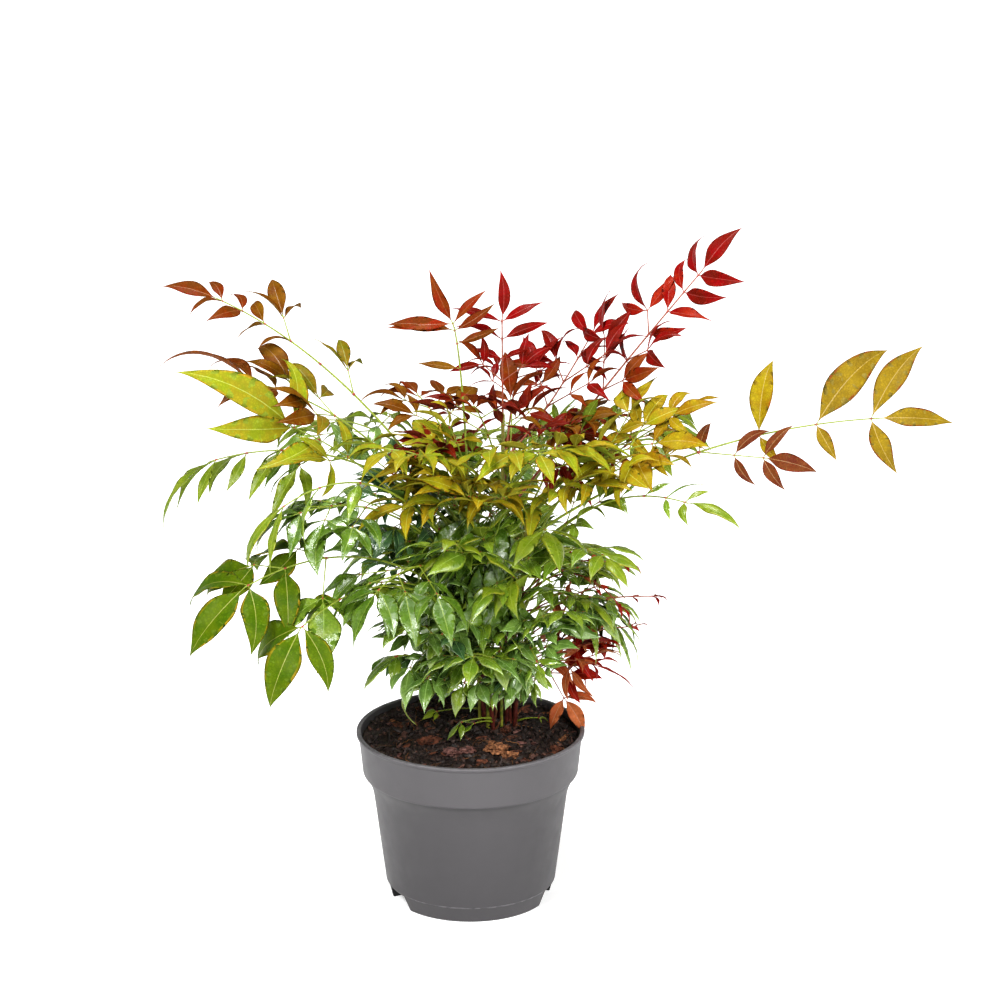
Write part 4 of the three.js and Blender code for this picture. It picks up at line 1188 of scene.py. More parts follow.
def add_young_canes(sheaf, rng):
    """Thin young canes, red or green, between the feet of the others."""
    young, feet = YOUNG_CANES, [cane["foot"] for cane in CANES.values()]
    for index in range(young["count"]):
        x, y = feet[index % len(feet)]
        heading = rng.uniform(0, 2 * np.pi)
        out = np.array([math.cos(heading), math.sin(heading), 0])
        base = np.array([x, y, FOOT_HEIGHT - 6]) + out * rng.uniform(0.4, 1) * young["spread"]
        head = base + out * rng.uniform(0, young["lean"])
        head[2] = rng.uniform(*young["top"])
        share = np.linspace(0, 1, young["rings"])[:, None]
        bow = np.sin(np.pi * share) * rng.uniform(-young["bow"], young["bow"], 3) * (1, 1, 0)
        radii = lerp(young["foot"], young["head"], share[:, 0]) * rng.uniform(0.8, 1.2)
        radii = radii * (1 + young["joint"] * (np.arange(young["rings"]) % 3 == 2))
        points = base + (head - base) * share + bow
        add_tube(sheaf, points, radii, young["sides"], int(rng.integers(2)))


def add_stubs(sheaf, cane, mouths, rng):
    """Short dry stubs of shed leafstalks, standing up and out from the lower sheaths."""
    for mouth in mouths[mouths < FOOT_HEIGHT + STUBS["height"]]:
        for _ in range(STUBS["count"]):
            heading = rng.uniform(0, 2 * np.pi)
            out = np.array([math.cos(heading), math.sin(heading), 0])
            reach = rng.uniform(*STUBS["reach"])
            base = np.array(cane_axis(cane, mouth - 2)) + out * 1.4
            end = base + out * reach + np.array([0, 0, rng.uniform(*STUBS["rise"])])
            middle = (base + end) / 2 + np.array([0, 0, -1.2])
            add_tube(sheaf, [base, middle, end], STUBS["radii"], 6, STUB_FINISH)


# ---------------------------------------------------------------- pot


def rounded(profile, radius, steps=4):
    """
    A profile of [radius, height] points with each corner turned into a small curve. A third
    number is the corner's own radius.
    """
    points = [np.array(p[:2], dtype=float) for p in profile]
    made = [points[0]]
    for before, corner, after, given in zip(points, points[1:], points[2:], profile[1:]):
        into, out = before - corner, after - corner
        soft = given[2] if len(given) > 2 else radius
        near = [leg * min(soft / np.linalg.norm(leg), 0.45) for leg in (into, out)]
        for step in range(steps + 1):
            u = step / steps
            made.append(corner + near[0] * (1 - u) ** 2 + near[1] * u ** 2)
    return np.array([*made, points[-1]])


def revolved(profile, sides, wobble):
    """A closed profile that starts and ends on the axis, turned about Z, as corners and faces."""
    turns = 2 * np.pi * np.arange(sides) / sides
    inner = profile[1:-1]
    radii = np.repeat(inner[:, :1], sides, axis=1) + wobble(turns[None, :], inner[:, 1:])
    rings = np.stack([radii * np.cos(turns), radii * np.sin(turns),
                      np.repeat(inner[:, 1:], sides, axis=1)], -1)
    corners = np.concatenate([rings.reshape(-1, 3), [[0, 0, profile[0][1]], [0, 0, profile[-1][1]]]])
    ring, start = np.arange(sides), np.arange(len(inner) - 1)[:, None] * sides
    after = (ring + 1) % sides
    walls = np.stack([start + ring, start + after, start + sides + after, start + sides + ring], -1)
    low, high = len(corners) - 2, len(corners) - 1
    top = (len(inner) - 1) * sides
    floor = np.stack([np.full(sides, low), after, ring], -1)
    roof = np.stack([np.full(sides, high), top + ring, top + after], -1)
    return corners, walls.reshape(-1, 4), floor, roof


def pot_profile():
    """Outer profile from the foot up, over the lip, and down the inside to the floor."""
    p = POT
    lip = p["height"] - p["lip_depth"]
    band_top = p["rim_radius"] - 2
    inner_foot = p["body_foot_radius"] - p["wall"]
    return [
        (0, 0), (p["pad_radius"], 0), (p["pad_radius"] + 2, p["foot_height"]),
        (p["foot_radius"] - p["foot_thickness"], p["foot_height"]),
        (p["foot_radius"] - p["foot_thickness"], 0),
        (p["foot_radius"], 0), (p["foot_top_radius"], p["foot_height"]),
        (p["body_foot_radius"] - 0.2, p["foot_height"] + 0.4),
        (p["body_top_radius"], p["body_top"], 9), (p["shoulder_radius"], p["shoulder"], 0.6),
        (p["band_radius"] - 0.6, p["band_foot"] - 1.2, 0.5), (p["band_radius"], p["band_foot"], 0.8),
        (band_top, lip), (p["rim_radius"], lip + 0.6), (p["rim_radius"], p["height"]),
        (band_top - p["wall"], p["height"]), (p["band_radius"] - p["wall"], p["band_foot"]),
        (p["body_top_radius"] - p["wall"], p["body_top"]), (inner_foot, p["floor_top"]),
        (p["pad_radius"], p["floor_top"]), (p["pad_radius"] - 2, p["pad_floor"]), (0, p["pad_floor"]),
    ]


def rim_wobble(turns, heights):
    """The thin wall stands a little out of round, most of all at its rim."""
    loose = ((heights - POT["body_top"]) / (POT["height"] - POT["body_top"])).clip(0, 1)
    return loose * (0.35 * np.sin(2 * turns + 0.8) + 0.22 * np.sin(5 * turns + 2))


def cut_away(piece, cutters):
    """Cuts closed shapes out of a piece and removes the cutters."""
    for cutter in cutters:
        step = piece.modifiers.new("cut", "BOOLEAN")
        step.operation = "DIFFERENCE"
        step.solver = "EXACT"
        step.object = cutter
    depsgraph = bpy.context.evaluated_depsgraph_get()
    shape = bpy.data.meshes.new_from_object(piece.evaluated_get(depsgraph))
    piece.modifiers.clear()
    piece.data = shape
    for cutter in cutters:
        bpy.data.objects.remove(cutter)


def cutter_between(name, low, high, finish=0):
    """A cutter between two rings of corners in millimetres, each going round the same way."""
    sides = len(low)
    corners = [tuple(c * MM for c in corner) for corner in (*low, *high)]
    faces = [tuple(range(sides))[::-1], tuple(range(sides, 2 * sides))]
    faces += [(i, (i + 1) % sides, (i + 1) % sides + sides, i + sides) for i in range(sides)]
    mesh = bpy.data.meshes.new(name)
    mesh.from_pydata(corners, [], faces)
    mesh.polygons.foreach_set("material_index", [finish] * len(faces))
    cutter = bpy.data.objects.new(name, mesh)
    bpy.context.scene.collection.objects.link(cutter)
    return cutter


def drain_cutter(index):
    """A round cutter for one drainage hole."""
    turn = 2 * np.pi * (index + 0.5) / DRAIN["count"]
    centre = np.array([math.cos(turn), math.sin(turn)]) * DRAIN["ring"]
    angles = 2 * np.pi * np.arange(DRAIN["sides"]) / DRAIN["sides"]
    ring = centre + DRAIN["radius"] * np.stack([np.cos(angles), np.sin(angles)], -1)
    low, high = ([(x, y, DRAIN[end]) for x, y in ring] for end in ("low", "high"))
    return cutter_between("drain", low, high)


def foot_cutter(heading):
    """A wedge between two feet, wider at the ground."""
    near, far = FEET["gap_start"], FEET["gap_end"]
    low, high = (
        [(near, -half, z), (far, -half, z), (far, half, z), (near, half, z)]
        for half, z in ((FEET["gap_foot"] / 2, -2), (FEET["gap_top"] / 2, FEET["gap_height"]))
    )
    cutter = cutter_between("gap", low, high, 1)
    cutter.rotation_euler.z = math.radians(heading)
    return cutter


# ---------------------------------------------------------------- compost


def compost_height(x, y):
    """Smooth height of the compost: level at the wall, with a low mound round the canes."""
    away = math.hypot(x - COMPOST["x"], y - COMPOST["y"])
    share = 1 - (away - COMPOST["flat_radius"]) / (COMPOST["slope_radius"] - COMPOST["flat_radius"])
    share = min(max(share, 0), 1)
    level = COMPOST["edge"] + COMPOST["tilt"] * y
    return level + COMPOST["rise"] * share * share * (3 - 2 * share)


def lumpy_height(x, y):
    """Height with clods, hollows and crumbs."""
    place = Vector((x, y, 0))
    clods = noise.fractal(place / 13, 1.0, 2.0, 3)
    crumbs = noise.fractal(place / 5 + Vector((9, 4, 1)), 0.9, 2.1, 3)
    pits = abs(noise.noise(place / 3.1))
    return compost_height(x, y) + 2.2 * clods + 1.5 * crumbs - 1.2 * pits


def icosphere(level):
    """Corners and faces of a round shape made of triangles."""
    golden = (1 + 5 ** 0.5) / 2
    corners = [(-1, golden, 0), (1, golden, 0), (-1, -golden, 0), (1, -golden, 0), (0, -1, golden),
               (0, 1, golden), (0, -1, -golden), (0, 1, -golden), (golden, 0, -1), (golden, 0, 1),
               (-golden, 0, -1), (-golden, 0, 1)]
    faces = [(0, 11, 5), (0, 5, 1), (0, 1, 7), (0, 7, 10), (0, 10, 11), (1, 5, 9), (5, 11, 4),
             (11, 10, 2), (10, 7, 6), (7, 1, 8), (3, 9, 4), (3, 4, 2), (3, 2, 6), (3, 6, 8),
             (3, 8, 9), (4, 9, 5), (2, 4, 11), (6, 2, 10), (8, 6, 7), (9, 8, 1)]
    corners = [np.array(c) / np.linalg.norm(c) for c in corners]
    for _ in range(level):
        middles, finer = {}, []

        def middle(a, b):
            """The corner between two corners, made once."""
            key = (min(a, b), max(a, b))
            if key not in middles:
                middles[key] = len(corners)
                corners.append(unit(corners[a] + corners[b]))
            return middles[key]

        for a, b, c in faces:
            ab, bc, ca = middle(a, b), middle(b, c), middle(c, a)
            finer += [(a, ab, ca), (b, bc, ab), (c, ca, bc), (ab, bc, ca)]
        faces = finer
    return np.array(corners), np.array(faces)


def spin(rng, tilt=math.pi):
    """A random turn: any heading, tilted by up to an angle."""
    heading = Quaternion((0, 0, 1), rng.uniform(0, 2 * math.pi))
    axis = (math.cos(rng.uniform(0, 6.3)), math.sin(rng.uniform(0, 6.3)), 0)
    lean = Quaternion(axis, rng.uniform(-tilt, tilt))
    return np.array((lean @ heading).to_matrix())


def spot(rng, reach):
    """A random place on the compost within a distance of the pot's axis."""
    radius, turn = reach * math.sqrt(rng.random()), rng.uniform(0, 2 * math.pi)
    return radius * math.cos(turn), radius * math.sin(turn)


def add_lump(sheaf, ball, centre, sizes, turn, rng, finish, rough=0.2):
    """An uneven lump: a ball stretched to its sizes, with its corners pushed about."""
    corners, faces = ball
    push = 1 + rough * rng.standard_normal((len(corners), 1)).clip(-1.6, 1.6)
    sheaf.add(corners * push * np.array(sizes) / 2 @ turn.T + centre, (faces, finish))


def make_bed(settings):
    """The compost's lumpy top, and its sides, which the pot hides."""
    turns = 2 * np.pi * np.arange(BED["sides"]) / BED["sides"]
    top = []
    for radius in BED["radius"] * np.linspace(1, BED["hub"], BED["rings"]):
        ring = [(radius * math.cos(a), radius * math.sin(a)) for a in turns]
        top += [(x, y, lumpy_height(x, y)) for x, y in ring]
    low_radius = POT["body_top_radius"] - POT["wall"] - 1
    low = [(low_radius * math.cos(a), low_radius * math.sin(a), POT["body_top"]) for a in turns]
    bed = Sheaf()
    walls, first, last = lofted(BED["rings"] + 1, BED["sides"])
    bed.add(low + top, (walls[:, ::-1], 0), (first[:, ::-1], 0), (last[:, ::-1], 0))
    peat = settings.peat
    soil = mottled("moist peat", scaled(peat, 0.3), scaled(peat, 1.6), 4, 0.6, 0.7, 0.35)
    bed.make("compost_bed", [soil], "compost", ["compost"])


def make_crumbs(settings, rng):
    """Loose crumbs of peat, strewn all over the compost."""
    crumbs, ball = Sheaf(), icosphere(0)
    for _ in range(settings.crumbs):
        x, y = spot(rng, BED["radius"] - 2.5)
        size = rng.uniform(0.9, 2.6) / rng.uniform(0.45, 1.2)
        sizes = size * rng.uniform((0.8, 0.5, 0.4), (2.2, 1.2, 1.0))
        centre = np.array([x, y, lumpy_height(x, y) + 0.2 * size])
        turn = spin(rng)
        finish = rng.choice(len(CRUMB_SHARES), p=CRUMB_SHARES)
        add_lump(crumbs, ball, centre, sizes, turn, rng, finish)
    peat = settings.peat
    tones = [
        mottled("dark crumb", scaled(peat, 0.25), scaled(peat, 1.1), 3, 0.6, 0.3, 0.4),
        mottled("brown crumb", scaled(peat, 0.7), scaled(peat, 2.2), 3, 0.6, 0.3, 0.4),
        mottled("pale crumb", linear("3c2a26"), linear("6a4c40"), 3, 0.7, 0.3),
    ]
    crumbs.make("compost_crumbs", tones, "compost", sharp=40)


def make_chips(settings, rng):
    """Bark chips: the largest in their places and small ones strewn about."""
    chips, ball, small = Sheaf(), icosphere(2), icosphere(1)
    for (x, y), length, width, height, turn, finish in LARGE_CHIPS:
        centre = np.array([x, y, compost_height(x, y) + 0.3 * height + 0.8])
        flat = np.array(Quaternion((0, 0, 1), math.radians(turn)).to_matrix())
        add_lump(chips, ball, centre, (length, width, height), flat, rng, finish, 0.24)
    for _ in range(settings.chips):
        x, y = spot(rng, BED["radius"] - 8)
        length = rng.uniform(4, 14)
        sizes = (length, length * rng.uniform(0.25, 0.6), length * rng.uniform(0.12, 0.3))
        centre = np.array([x, y, lumpy_height(x, y) + 0.6])
        turn = spin(rng, 0.5)
        finish = rng.choice(len(CHIP_SHARES), p=CHIP_SHARES)
        add_lump(chips, small, centre, sizes, turn, rng, finish)
    bark, peat = settings.bark, settings.peat
    barks = [
        mottled("brown bark", scaled(bark, 0.18), scaled(bark, 1.0), 3, 0.8, 0.8),
        mottled("purple bark", linear("3a2422"), linear("7c5850"), 3, 0.5, 0.6),
        mottled("orange bark", linear("3e2416"), linear("a87450"), 2.5, 0.8, 0.9),
        mottled("black bark", scaled(peat, 0.3), scaled(peat, 2.0), 4, 0.5, 0.5, 0.5),
    ]
    chips.make("bark_chips", barks, "compost", sharp=50)


def fibre_course(rng):
    """Thickness and points of one fibre that wanders over the compost, inside the pot's wall."""
    x, y = spot(rng, BED["radius"] - 14)
    heading, bend = rng.uniform(0, 2 * np.pi), rng.uniform(-0.05, 0.05)
    length, thick = rng.uniform(8, 34), rng.uniform(0.14, 0.5)
    points = []
    for index in range(FIBRE_POINTS):
        arch = 1.6 * math.sin(math.pi * index / (FIBRE_POINTS - 1)) * rng.uniform(0.4, 1)
        points.append((x, y, lumpy_height(x, y) + 0.7 + arch))
        heading += bend * length / FIBRE_POINTS + rng.uniform(-0.25, 0.25)
        x += math.cos(heading) * length / FIBRE_POINTS
        y += math.sin(heading) * length / FIBRE_POINTS
    return thick, [point for point in points if math.hypot(*point[:2]) < BED["radius"] - 3]


def make_fibres(settings, rng):
    """Loose fibres of roots and peat."""
    fibres = Sheaf()
    for _ in range(settings.fibres):
        thick, points = fibre_course(rng)
        if len(points) > 3:
            radii = [thick * (1 - 0.5 * index / len(points)) for index in range(len(points))]
            add_tube(fibres, points, radii, 5, int(rng.random() < 0.6))
    fibre = settings.fibre
    strands = [
        mottled("tan fibre", scaled(fibre, 0.7), scaled(fibre, 1.2), 3, 0.75, 0.1),
        mottled("brown fibre", scaled(fibre, 0.25), scaled(fibre, 0.55), 3, 0.75, 0.1),
    ]
    fibres.make("root_fibres", strands, "compost")


# ---------------------------------------------------------------- pieces of stems and leaflets


def make_axes(fronds, shoots, skins, settings):
    """The leafstalks of all fronds and shoots, joined by the cane that carries them."""
    for cane in CANES:
        sheaf, boughs = Sheaf(), []
        for name, grown in {**fronds, **shoots}.items():
            if grown["frond"]["cane"] == cane:
                add_axis(sheaf, grown, settings)
                if name in fronds and grown["frond"]["reach"] > LONG_REACH:
                    boughs.append(f"bough_{name}")
        sheaf.make(f"leafstalks_{cane}", skins, "stalk", boughs)


def make_loose_blade():
    """The narrow blade over the compost: a smoothed course, thin at both ends."""
    along = np.linspace(0, 1, 25)
    control = np.array(LOOSE_BLADE)
    knots = np.linspace(0, 1, len(control))
    points = np.stack([np.interp(along, knots, control[:, k]) for k in range(3)], -1)
    for _ in range(3):
        points[1:-1] = (points[:-2] + points[1:-1] * 2 + points[2:]) / 4
    blade = Sheaf()
    add_tube(blade, points, 0.95 * np.sin(np.pi * (0.12 + 0.86 * along)) ** 0.6, 6, 0)
    blade.make("loose_blade", [stem_skin("pale green blade", linear("a4b060"), 0.35)], "stalk")


def make_twigs(piece, plants, skins, shape, replaces=()):
    """The pinnae's stems and the leaflets' own stalks of some fronds, joined."""
    twigs = Sheaf()
    for grown in plants.values():
        plain = plain_finish(grown)
        for pinna in grown["pinnae"]:
            add_pinna(twigs, pinna, plain)
        for each, root, way, *_ in shaped_leaflets(grown, shape):
            add_petiolule(twigs, each, root, way, plain)
    twigs.make(piece, skins, "stalk", replaces)


def leaf_skins(shade):
    """For each hue the materials of a leaflet's upper side, underside, midrib and margin."""
    skins = {}
    for hue, (*texts, roughness) in HUES.items():
        upper, second, margin, under, rib = (scaled(linear(text), shade) for text in texts)
        shine = 1.0 if roughness < GLOSSY else 0.35 if roughness < MATTE else 0.05
        skins[hue] = (
            leaf_side(f"{hue} upper side", upper, second, roughness, shine),
            leaf_side(f"{hue} underside", under, under, 0.6, 0.05),
            leaf_side(f"{hue} midrib", rib, rib, 0.45, 0.4),
            leaf_side(f"{hue} margin", margin, second, roughness, shine),
        )
    return skins


def make_leaves(piece, plants, blends, skins, shape, slot, prefix=""):
    """The leaflets of all fronds with some blends, joined. A prefix names the solids replaced."""
    sheaf, names, used = Sheaf(), [], []
    for name, grown in plants.items():
        if grown["frond"]["hues"] not in blends:
            continue
        names.append(prefix + name)
        for *_, corners, hue in shaped_leaflets(grown, shape):
            if hue not in used:
                used.append(hue)
            start = len(skins[hue]) * used.index(hue)
            walls, strips, first, last = leaf_faces(len(corners) - 1)
            sheaf.add(corners, (walls, strips + start), (first, start), (last, start))
    if used:
        tones = [skin for hue in used for skin in skins[hue]]
        sheaf.make(piece, tones, slot, names if prefix else ())


# ---------------------------------------------------------------- stage

# half the floor's width in metres; each lamp's place and size in metres, and where all look
FLOOR_HALF = 30.0
LAMPS = {
    "key": ((-1.1, -1.7, 1.9), 0.6),
    "top": ((-0.2, 0.3, 2.2), 0.5),
    "fill": ((1.8, -1.0, 1.2), 0.8),
    "front": ((0.6, -2.6, 1.4), 0.4),
}
LAMP_AIM = (0.0, 0.0, 0.3)
# width of the camera's sensor in millimetres
SENSOR_WIDTH = 36


def make_floor(settings):
    """A wide pale floor that glows a little more with distance, so that its edge is lost."""
    mesh = bpy.data.meshes.new("floor")
    half = FLOOR_HALF
    corners = [(-half, -half, 0), (half, -half, 0), (half, half, 0), (-half, half, 0)]
    mesh.from_pydata(corners, [], [(0, 1, 2, 3)])
    floor = bpy.data.objects.new("floor", mesh)
    bpy.context.scene.collection.objects.link(floor)
    finish = Finish("pale floor", 0.9, 0.0)
    shade = finish.between(finish.noise(40, 2), 0, 1)
    finish.colour(finish.mixed(shade, scaled(settings.floor, 0.99), settings.floor))
    finish.shader.inputs["Emission Color"].default_value = (1, 1, 1, 1)
    away = finish.tree.nodes.new("ShaderNodeVectorMath")
    away.operation = "LENGTH"
    finish.tree.links.new(finish.place, away.inputs[0])
    glow = finish.between(away.outputs["Value"], settings.glow, settings.glow + 0.7, 0.4, 3.0)
    finish.tree.links.new(glow, finish.shader.inputs["Emission Strength"])
    mesh.materials.append(finish.material)
    floor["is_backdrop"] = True


def make_world(settings):
    """A white studio sky, brighter near the horizon than overhead."""
    world = bpy.data.worlds.new("studio")
    bpy.context.scene.world = world
    world.use_nodes = True
    nodes, links = world.node_tree.nodes, world.node_tree.links
    sky = nodes["Background"]
    sky.inputs["Color"].default_value = (1, 1, 1, 1)
    height = nodes.new("ShaderNodeSeparateXYZ")
    links.new(nodes.new("ShaderNodeTexCoord").outputs["Generated"], height.inputs[0])
    fade = nodes.new("ShaderNodeMapRange")
    for name, value in (
        ("From Min", 0.1), ("From Max", 0.5), ("To Min", 0.5), ("To Max", settings.sky),
    ):
        fade.inputs[name].default_value = value
    links.new(height.outputs["Z"], fade.inputs["Value"])
    links.new(fade.outputs["Result"], sky.inputs["Strength"])


def make_lamps(settings):
    """Four soft lamps, all turned to the plant."""
    for name, (place, size) in LAMPS.items():
        lamp = bpy.data.lights.new(name, "AREA")
        lamp.energy = getattr(settings, name)
        lamp.size = size
        light = bpy.data.objects.new(name, lamp)
        light.location = place
        aim = Vector(LAMP_AIM) - light.location
        light.rotation_euler = aim.to_track_quat("-Z", "Y").to_euler()
        bpy.context.scene.collection.objects.link(light)


def make_camera(settings):
    """The camera, level from side to side and looking a little down."""
    camera = bpy.data.objects.new("camera", bpy.data.cameras.new("camera"))
    camera.data.sensor_width = SENSOR_WIDTH
    camera.data.lens = settings.lens
    camera.location = settings.eye
    camera.rotation_euler = (math.pi / 2 - settings.dip, 0, 0)
    bpy.context.scene.collection.objects.link(camera)
    bpy.context.scene.camera = camera


# ---------------------------------------------------------------- what a user can change


def colour_value(name, description, text):
    """A colour that a user can change."""
    return bpy.props.FloatVectorProperty(
        name=name, description=description, subtype="COLOR", size=3, min=0, max=1,
        default=linear(text))


def length_value(name, description, millimetres):
    """A length that a user can change."""
    return bpy.props.FloatProperty(
        name=name, description=description, default=millimetres * MM, min=0.0, unit="LENGTH",
        precision=4)


def count_value(name, description, count, least=0, most=5000):
    """A number of things that a user can change."""
    return bpy.props.IntProperty(
        name=name, description=description, default=count, min=least, max=most)


def power_value(name, description, watts):
    """The power of a lamp that a user can change."""
    return bpy.props.FloatProperty(
        name=name, description=description, default=watts, min=0, unit="POWER")


class BambooPotSettings(bpy.types.PropertyGroup):
    """The pot and what fills it."""

    sides: count_value("Sides", "Facets round the pot", 160, 24, 512)
    plastic: colour_value("Plastic", "Colour of the pot", "494749")
    peat: colour_value("Peat", "Colour of the moist compost", "2f2420")
    bark: colour_value("Bark", "Colour of the bark chips", "6f4330")
    fibre: colour_value("Fibre", "Colour of the loose root fibres", "7c5636")
    crumbs: count_value("Crumbs", "Loose crumbs", 2200)
    chips: count_value("Chips", "Small bark chips", 150)
    fibres: count_value("Fibres", "Loose fibres", 60)


class BambooStemSettings(bpy.types.PropertyGroup):
    """Canes, leafstalks and twigs."""

    foot_radius: length_value("Cane foot", "Radius of a cane above its flared foot", 1.9)
    head_radius: length_value("Cane head", "Radius of a cane at its top", 1.6)
    root_radius: length_value("Leafstalk root", "Radius of a leafstalk near its cane", 1.25)
    tip_radius: length_value("Leafstalk tip", "Radius of a frond's axis at its end", 0.5)
    foot_bark: colour_value("Cane foot bark", "Colour of the canes near the compost", "58241a")
    bark: colour_value("Cane bark", "Colour of the canes", "6b4a2e")
    young_bark: colour_value("Young cane bark", "Colour of the canes' tops", "7f7a3a")
    green: colour_value("Green stems", "Colour of the stems of green fronds", "7c8a2a")
    red: colour_value("Red stems", "Colour of the stems of red fronds", "84422a")
    joint: colour_value("Joints", "Colour of the swollen joints", "8e3a2c")


class BambooLeafSettings(bpy.types.PropertyGroup):
    """Shape of the leaflets."""

    width: bpy.props.FloatProperty(
        name="Width", description="Width as a share of the length", default=0.34, min=0.1, max=0.8,
        subtype="FACTOR")
    fold: bpy.props.FloatProperty(
        name="Fold", description="How far the halves fold up from the midrib", default=0.42, min=0,
        max=1, subtype="FACTOR")
    curl: bpy.props.FloatProperty(
        name="Curl", description="How far a leaflet bends down along its length", default=0.95,
        subtype="ANGLE")
    sickle: bpy.props.FloatProperty(
        name="Sickle", description="How far paired leaflets bend towards the stem's tip", default=0.35,
        subtype="ANGLE")
    veins: bpy.props.FloatProperty(
        name="Veins", description="Depth of the furrows over the side veins", default=1.6, min=0, max=4)
    rows: count_value("Rows", "Most rows of faces along a leaflet", 20, 4, 64)
    shade: bpy.props.FloatProperty(
        name="Shade", description="Brightness of all leaflet colours", default=1.0, min=0.2, max=2)


class BambooStageSettings(bpy.types.PropertyGroup):
    """Floor, light and camera."""

    floor: colour_value("Floor", "Colour of the floor", "f4f4f4")
    glow: bpy.props.FloatProperty(
        name="Glow", description="Light given off by the floor", default=0.34, min=0)
    sky: bpy.props.FloatProperty(
        name="Sky", description="Strength of the sky overhead", default=0.16, min=0)
    key: power_value("Key light", "Power of the lamp at the upper left", 52)
    top: power_value("Top light", "Power of the lamp overhead", 36)
    fill: power_value("Fill light", "Power of the lamp from the right", 22)
    front: power_value("Front light", "Power of the lamp in front", 40)
    eye: bpy.props.FloatVectorProperty(
        name="Camera", description="Place of the camera", size=3, subtype="TRANSLATION",
        default=(0.0247, -2.4337, 1.0608))
    dip: bpy.props.FloatProperty(
        name="Dip", description="How far the camera looks down", default=math.radians(16.4),
        subtype="ANGLE")
    lens: bpy.props.FloatProperty(
        name="Lens", description="Focal length", default=111.85, min=20, unit="CAMERA")


# ---------------------------------------------------------------- operators


class BAMBOO_OT_pot(bpy.types.Operator):
    """Make the pot: band, thin lip, three feet and drainage holes"""

    bl_idname = "bamboo.pot"
    bl_label = "Make pot"

    def execute(self, context):
        settings = context.scene.bamboo_pot
        sheaf = Sheaf()
        profile = rounded(pot_profile(), 1.1)
        corners, walls, floor, roof = revolved(profile, settings.sides, rim_wobble)
        # painted shade: the underside inside the foot ring, and all rings past the lip, take a dark
        # moulding that stands in for the shade there
        across = np.linalg.norm(corners[:, :2], axis=1)
        painted_shade = (across < POT["foot_radius"] - 2) & (corners[:, 2] < POT["foot_height"] + 0.5)
        ring = np.arange(len(corners)) // settings.sides
        painted_shade |= ring > ring[corners[:, 2] > POT["height"] - 2].max()
        sheaf.add(corners, (walls, painted_shade[walls].all(axis=1)), (floor, 1), (roof, 0))
        # the second skin is a dark mottled moulding, painted shade for the recess under the pot and the
        # inner wall
        dark, pale = (scaled(settings.plastic, share) for share in (0.14, 0.34))
        skins = [
            pot_plastic(settings.plastic), mottled("soiled moulding", dark, pale, 8, 0.8, 0.05),
        ]
        piece = sheaf.make("pot_body", skins, "pot", ["pot"])
        cutters = [foot_cutter(heading) for heading in FEET["gaps"]]
        cutters += [drain_cutter(index) for index in range(DRAIN["count"])]
        cut_away(piece, cutters)
        piece.data.shade_smooth()
        piece.data.set_sharp_from_angle(angle=math.radians(38))
        return {"FINISHED"}


class BAMBOO_OT_compost(bpy.types.Operator):
    """Fill the pot with compost, bark chips and root fibres"""

    bl_idname = "bamboo.compost"
    bl_label = "Make compost"

    def execute(self, context):
        settings = context.scene.bamboo_pot
        rng = np.random.default_rng(COMPOST_SEED)
        make_bed(settings)
        make_crumbs(settings, rng)
        make_chips(settings, rng)
        make_fibres(settings, rng)
        return {"FINISHED"}


class BAMBOO_OT_canes(bpy.types.Operator):
    """Make the canes with their ribs, old sheaths and dry stubs"""

    bl_idname = "bamboo.canes"
    bl_label = "Make canes"

    def execute(self, context):
        settings = context.scene.bamboo_stem
        foot, bark, olive = settings.foot_bark, settings.bark, settings.young_bark
        skins = [
            mottled("red cane foot", scaled(foot, 0.55), scaled(foot, 1.35), 3, 0.5, 0.12),
            mottled("brown cane", scaled(bark, 0.6), scaled(bark, 1.3), 4, 0.6, 0.15),
            mottled("olive cane", scaled(olive, 0.75), scaled(olive, 1.2), 4, 0.5, 0.1),
            mottled("dry stub", linear("4a2c1e"), linear("8a5a3a"), 3, 0.75, 0.15),
        ]
        for index, (name, cane) in enumerate(CANES.items()):
            rng = np.random.default_rng(CANE_SEED + index)
            sheaf = Sheaf()
            mouths = add_cane(sheaf, cane, settings, rng)
            add_stubs(sheaf, cane, mouths, rng)
            sheaf.make(f"bark_{name}", skins, "cane", [name], sharp=50)
        young = Sheaf()
        add_young_canes(young, np.random.default_rng(YOUNG_CANE_SEED))
        tones = [
            mottled("red young cane", scaled(foot, 0.6), scaled(foot, 1.4), 4, 0.45, 0.1),
            mottled("green young cane", linear("4c5a1c"), linear("8a8a34"), 5, 0.45, 0.1),
        ]
        young.make("young_canes", tones, "cane")
        return {"FINISHED"}


class BAMBOO_OT_stems(bpy.types.Operator):
    """Grow the leafstalks and twigs"""

    bl_idname = "bamboo.stems"
    bl_label = "Grow stems"

    def execute(self, context):
        settings = context.scene.bamboo_stem
        skins = [
            stem_skin("green stem", settings.green),
            stem_skin("red stem", settings.red),
            stem_skin("stem joint", settings.joint, 0.5),
        ]
        fronds, shoots = grow_fronds(), grow_shoots()
        make_axes(fronds, shoots, skins, settings)
        make_loose_blade()
        shape = context.scene.bamboo_leaf
        make_twigs("twigs", fronds, skins, shape, [f"foliage_{name}" for name in fronds])
        make_twigs("shoot_twigs", shoots, skins, shape)
        return {"FINISHED"}


class BAMBOO_OT_leaves(bpy.types.Operator):
    """Grow the leaflets, joined by their colours"""

    bl_idname = "bamboo.leaves"
    bl_label = "Grow leaflets"

    def execute(self, context):
        shape = context.scene.bamboo_leaf
        fronds, shoots = grow_fronds(), grow_shoots()
        skins = leaf_skins(shape.shade)
        for piece, (slot, blends) in LEAF_PIECES.items():
            make_leaves(piece, fronds, blends, skins, shape, slot, "foliage_")
            make_leaves(f"{piece}_shoots", shoots, blends, skins, shape, slot)
        return {"FINISHED"}


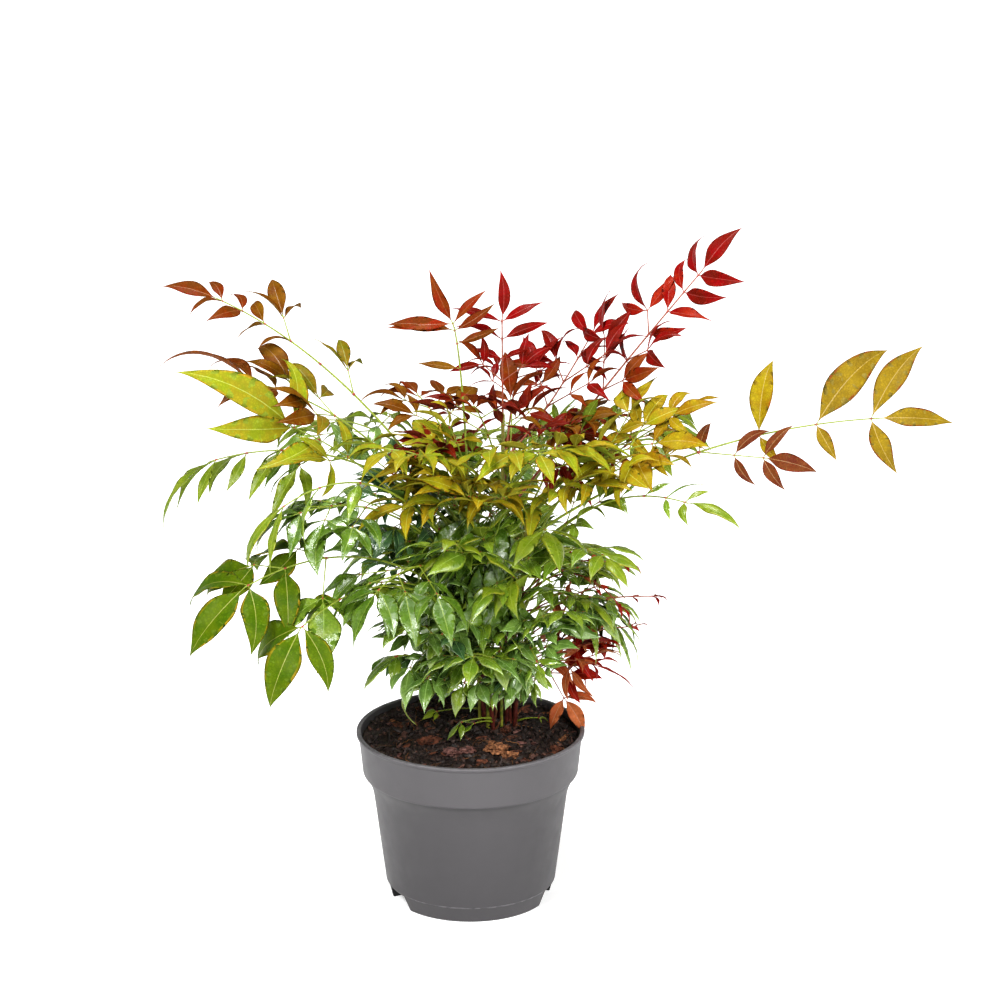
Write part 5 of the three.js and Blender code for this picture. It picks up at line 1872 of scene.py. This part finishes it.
class BAMBOO_OT_stage(bpy.types.Operator):
    """Make the floor, the lights and the camera"""

    bl_idname = "bamboo.stage"
    bl_label = "Make stage"

    def execute(self, context):
        settings = context.scene.bamboo_stage
        make_floor(settings)
        make_world(settings)
        make_lamps(settings)
        make_camera(settings)
        context.scene.view_settings.view_transform = "Standard"
        context.scene.view_settings.look = "Medium High Contrast"
        return {"FINISHED"}


class BAMBOO_PT_panel(bpy.types.Panel):
    """The plant's sizes, colours and making steps"""

    bl_label = "Heavenly bamboo"
    bl_space_type = "VIEW_3D"
    bl_region_type = "UI"
    bl_category = "Bamboo"

    def draw(self, context):
        """Lists each group of settings with the steps that use it."""
        for settings, (group, steps) in SECTIONS.items():
            box = self.layout.box()
            for name in group.__annotations__:
                box.prop(getattr(context.scene, settings), name)
            for step in steps:
                box.operator(step)


# settings on the scene: their group, and the steps that use them
SECTIONS = {
    "bamboo_stage": (BambooStageSettings, ("bamboo.stage",)),
    "bamboo_pot": (BambooPotSettings, ("bamboo.pot", "bamboo.compost")),
    "bamboo_stem": (BambooStemSettings, ("bamboo.canes", "bamboo.stems")),
    "bamboo_leaf": (BambooLeafSettings, ("bamboo.leaves",)),
}
CLASSES = (
    *(group for group, _ in SECTIONS.values()), BAMBOO_OT_stage, BAMBOO_OT_pot, BAMBOO_OT_compost,
    BAMBOO_OT_canes, BAMBOO_OT_stems, BAMBOO_OT_leaves, BAMBOO_PT_panel,
)


def register():
    """Registers all classes and hangs the settings on the scene."""
    for each in CLASSES:
        bpy.utils.register_class(each)
    for name, (group, _) in SECTIONS.items():
        setattr(bpy.types.Scene, name, bpy.props.PointerProperty(type=group))


def unregister():
    """Takes away what register made."""
    for name in SECTIONS:
        delattr(bpy.types.Scene, name)
    for each in reversed(CLASSES):
        bpy.utils.unregister_class(each)


def main():
    """Builds the stage and the plant and works out the size of the solids and of the finished part."""
    register()
    bpy.ops.bamboo.stage()
    bpy.ops.bamboo.pot()
    bpy.ops.bamboo.compost()
    bpy.ops.bamboo.canes()
    bpy.ops.bamboo.stems()
    bpy.ops.bamboo.leaves()
    boxes = {"cad": CAD_BOX, "visual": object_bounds()}
    {name: [list(corner) for corner in box] for name, box in boxes.items()}


if __name__ == "__main__":
    main()
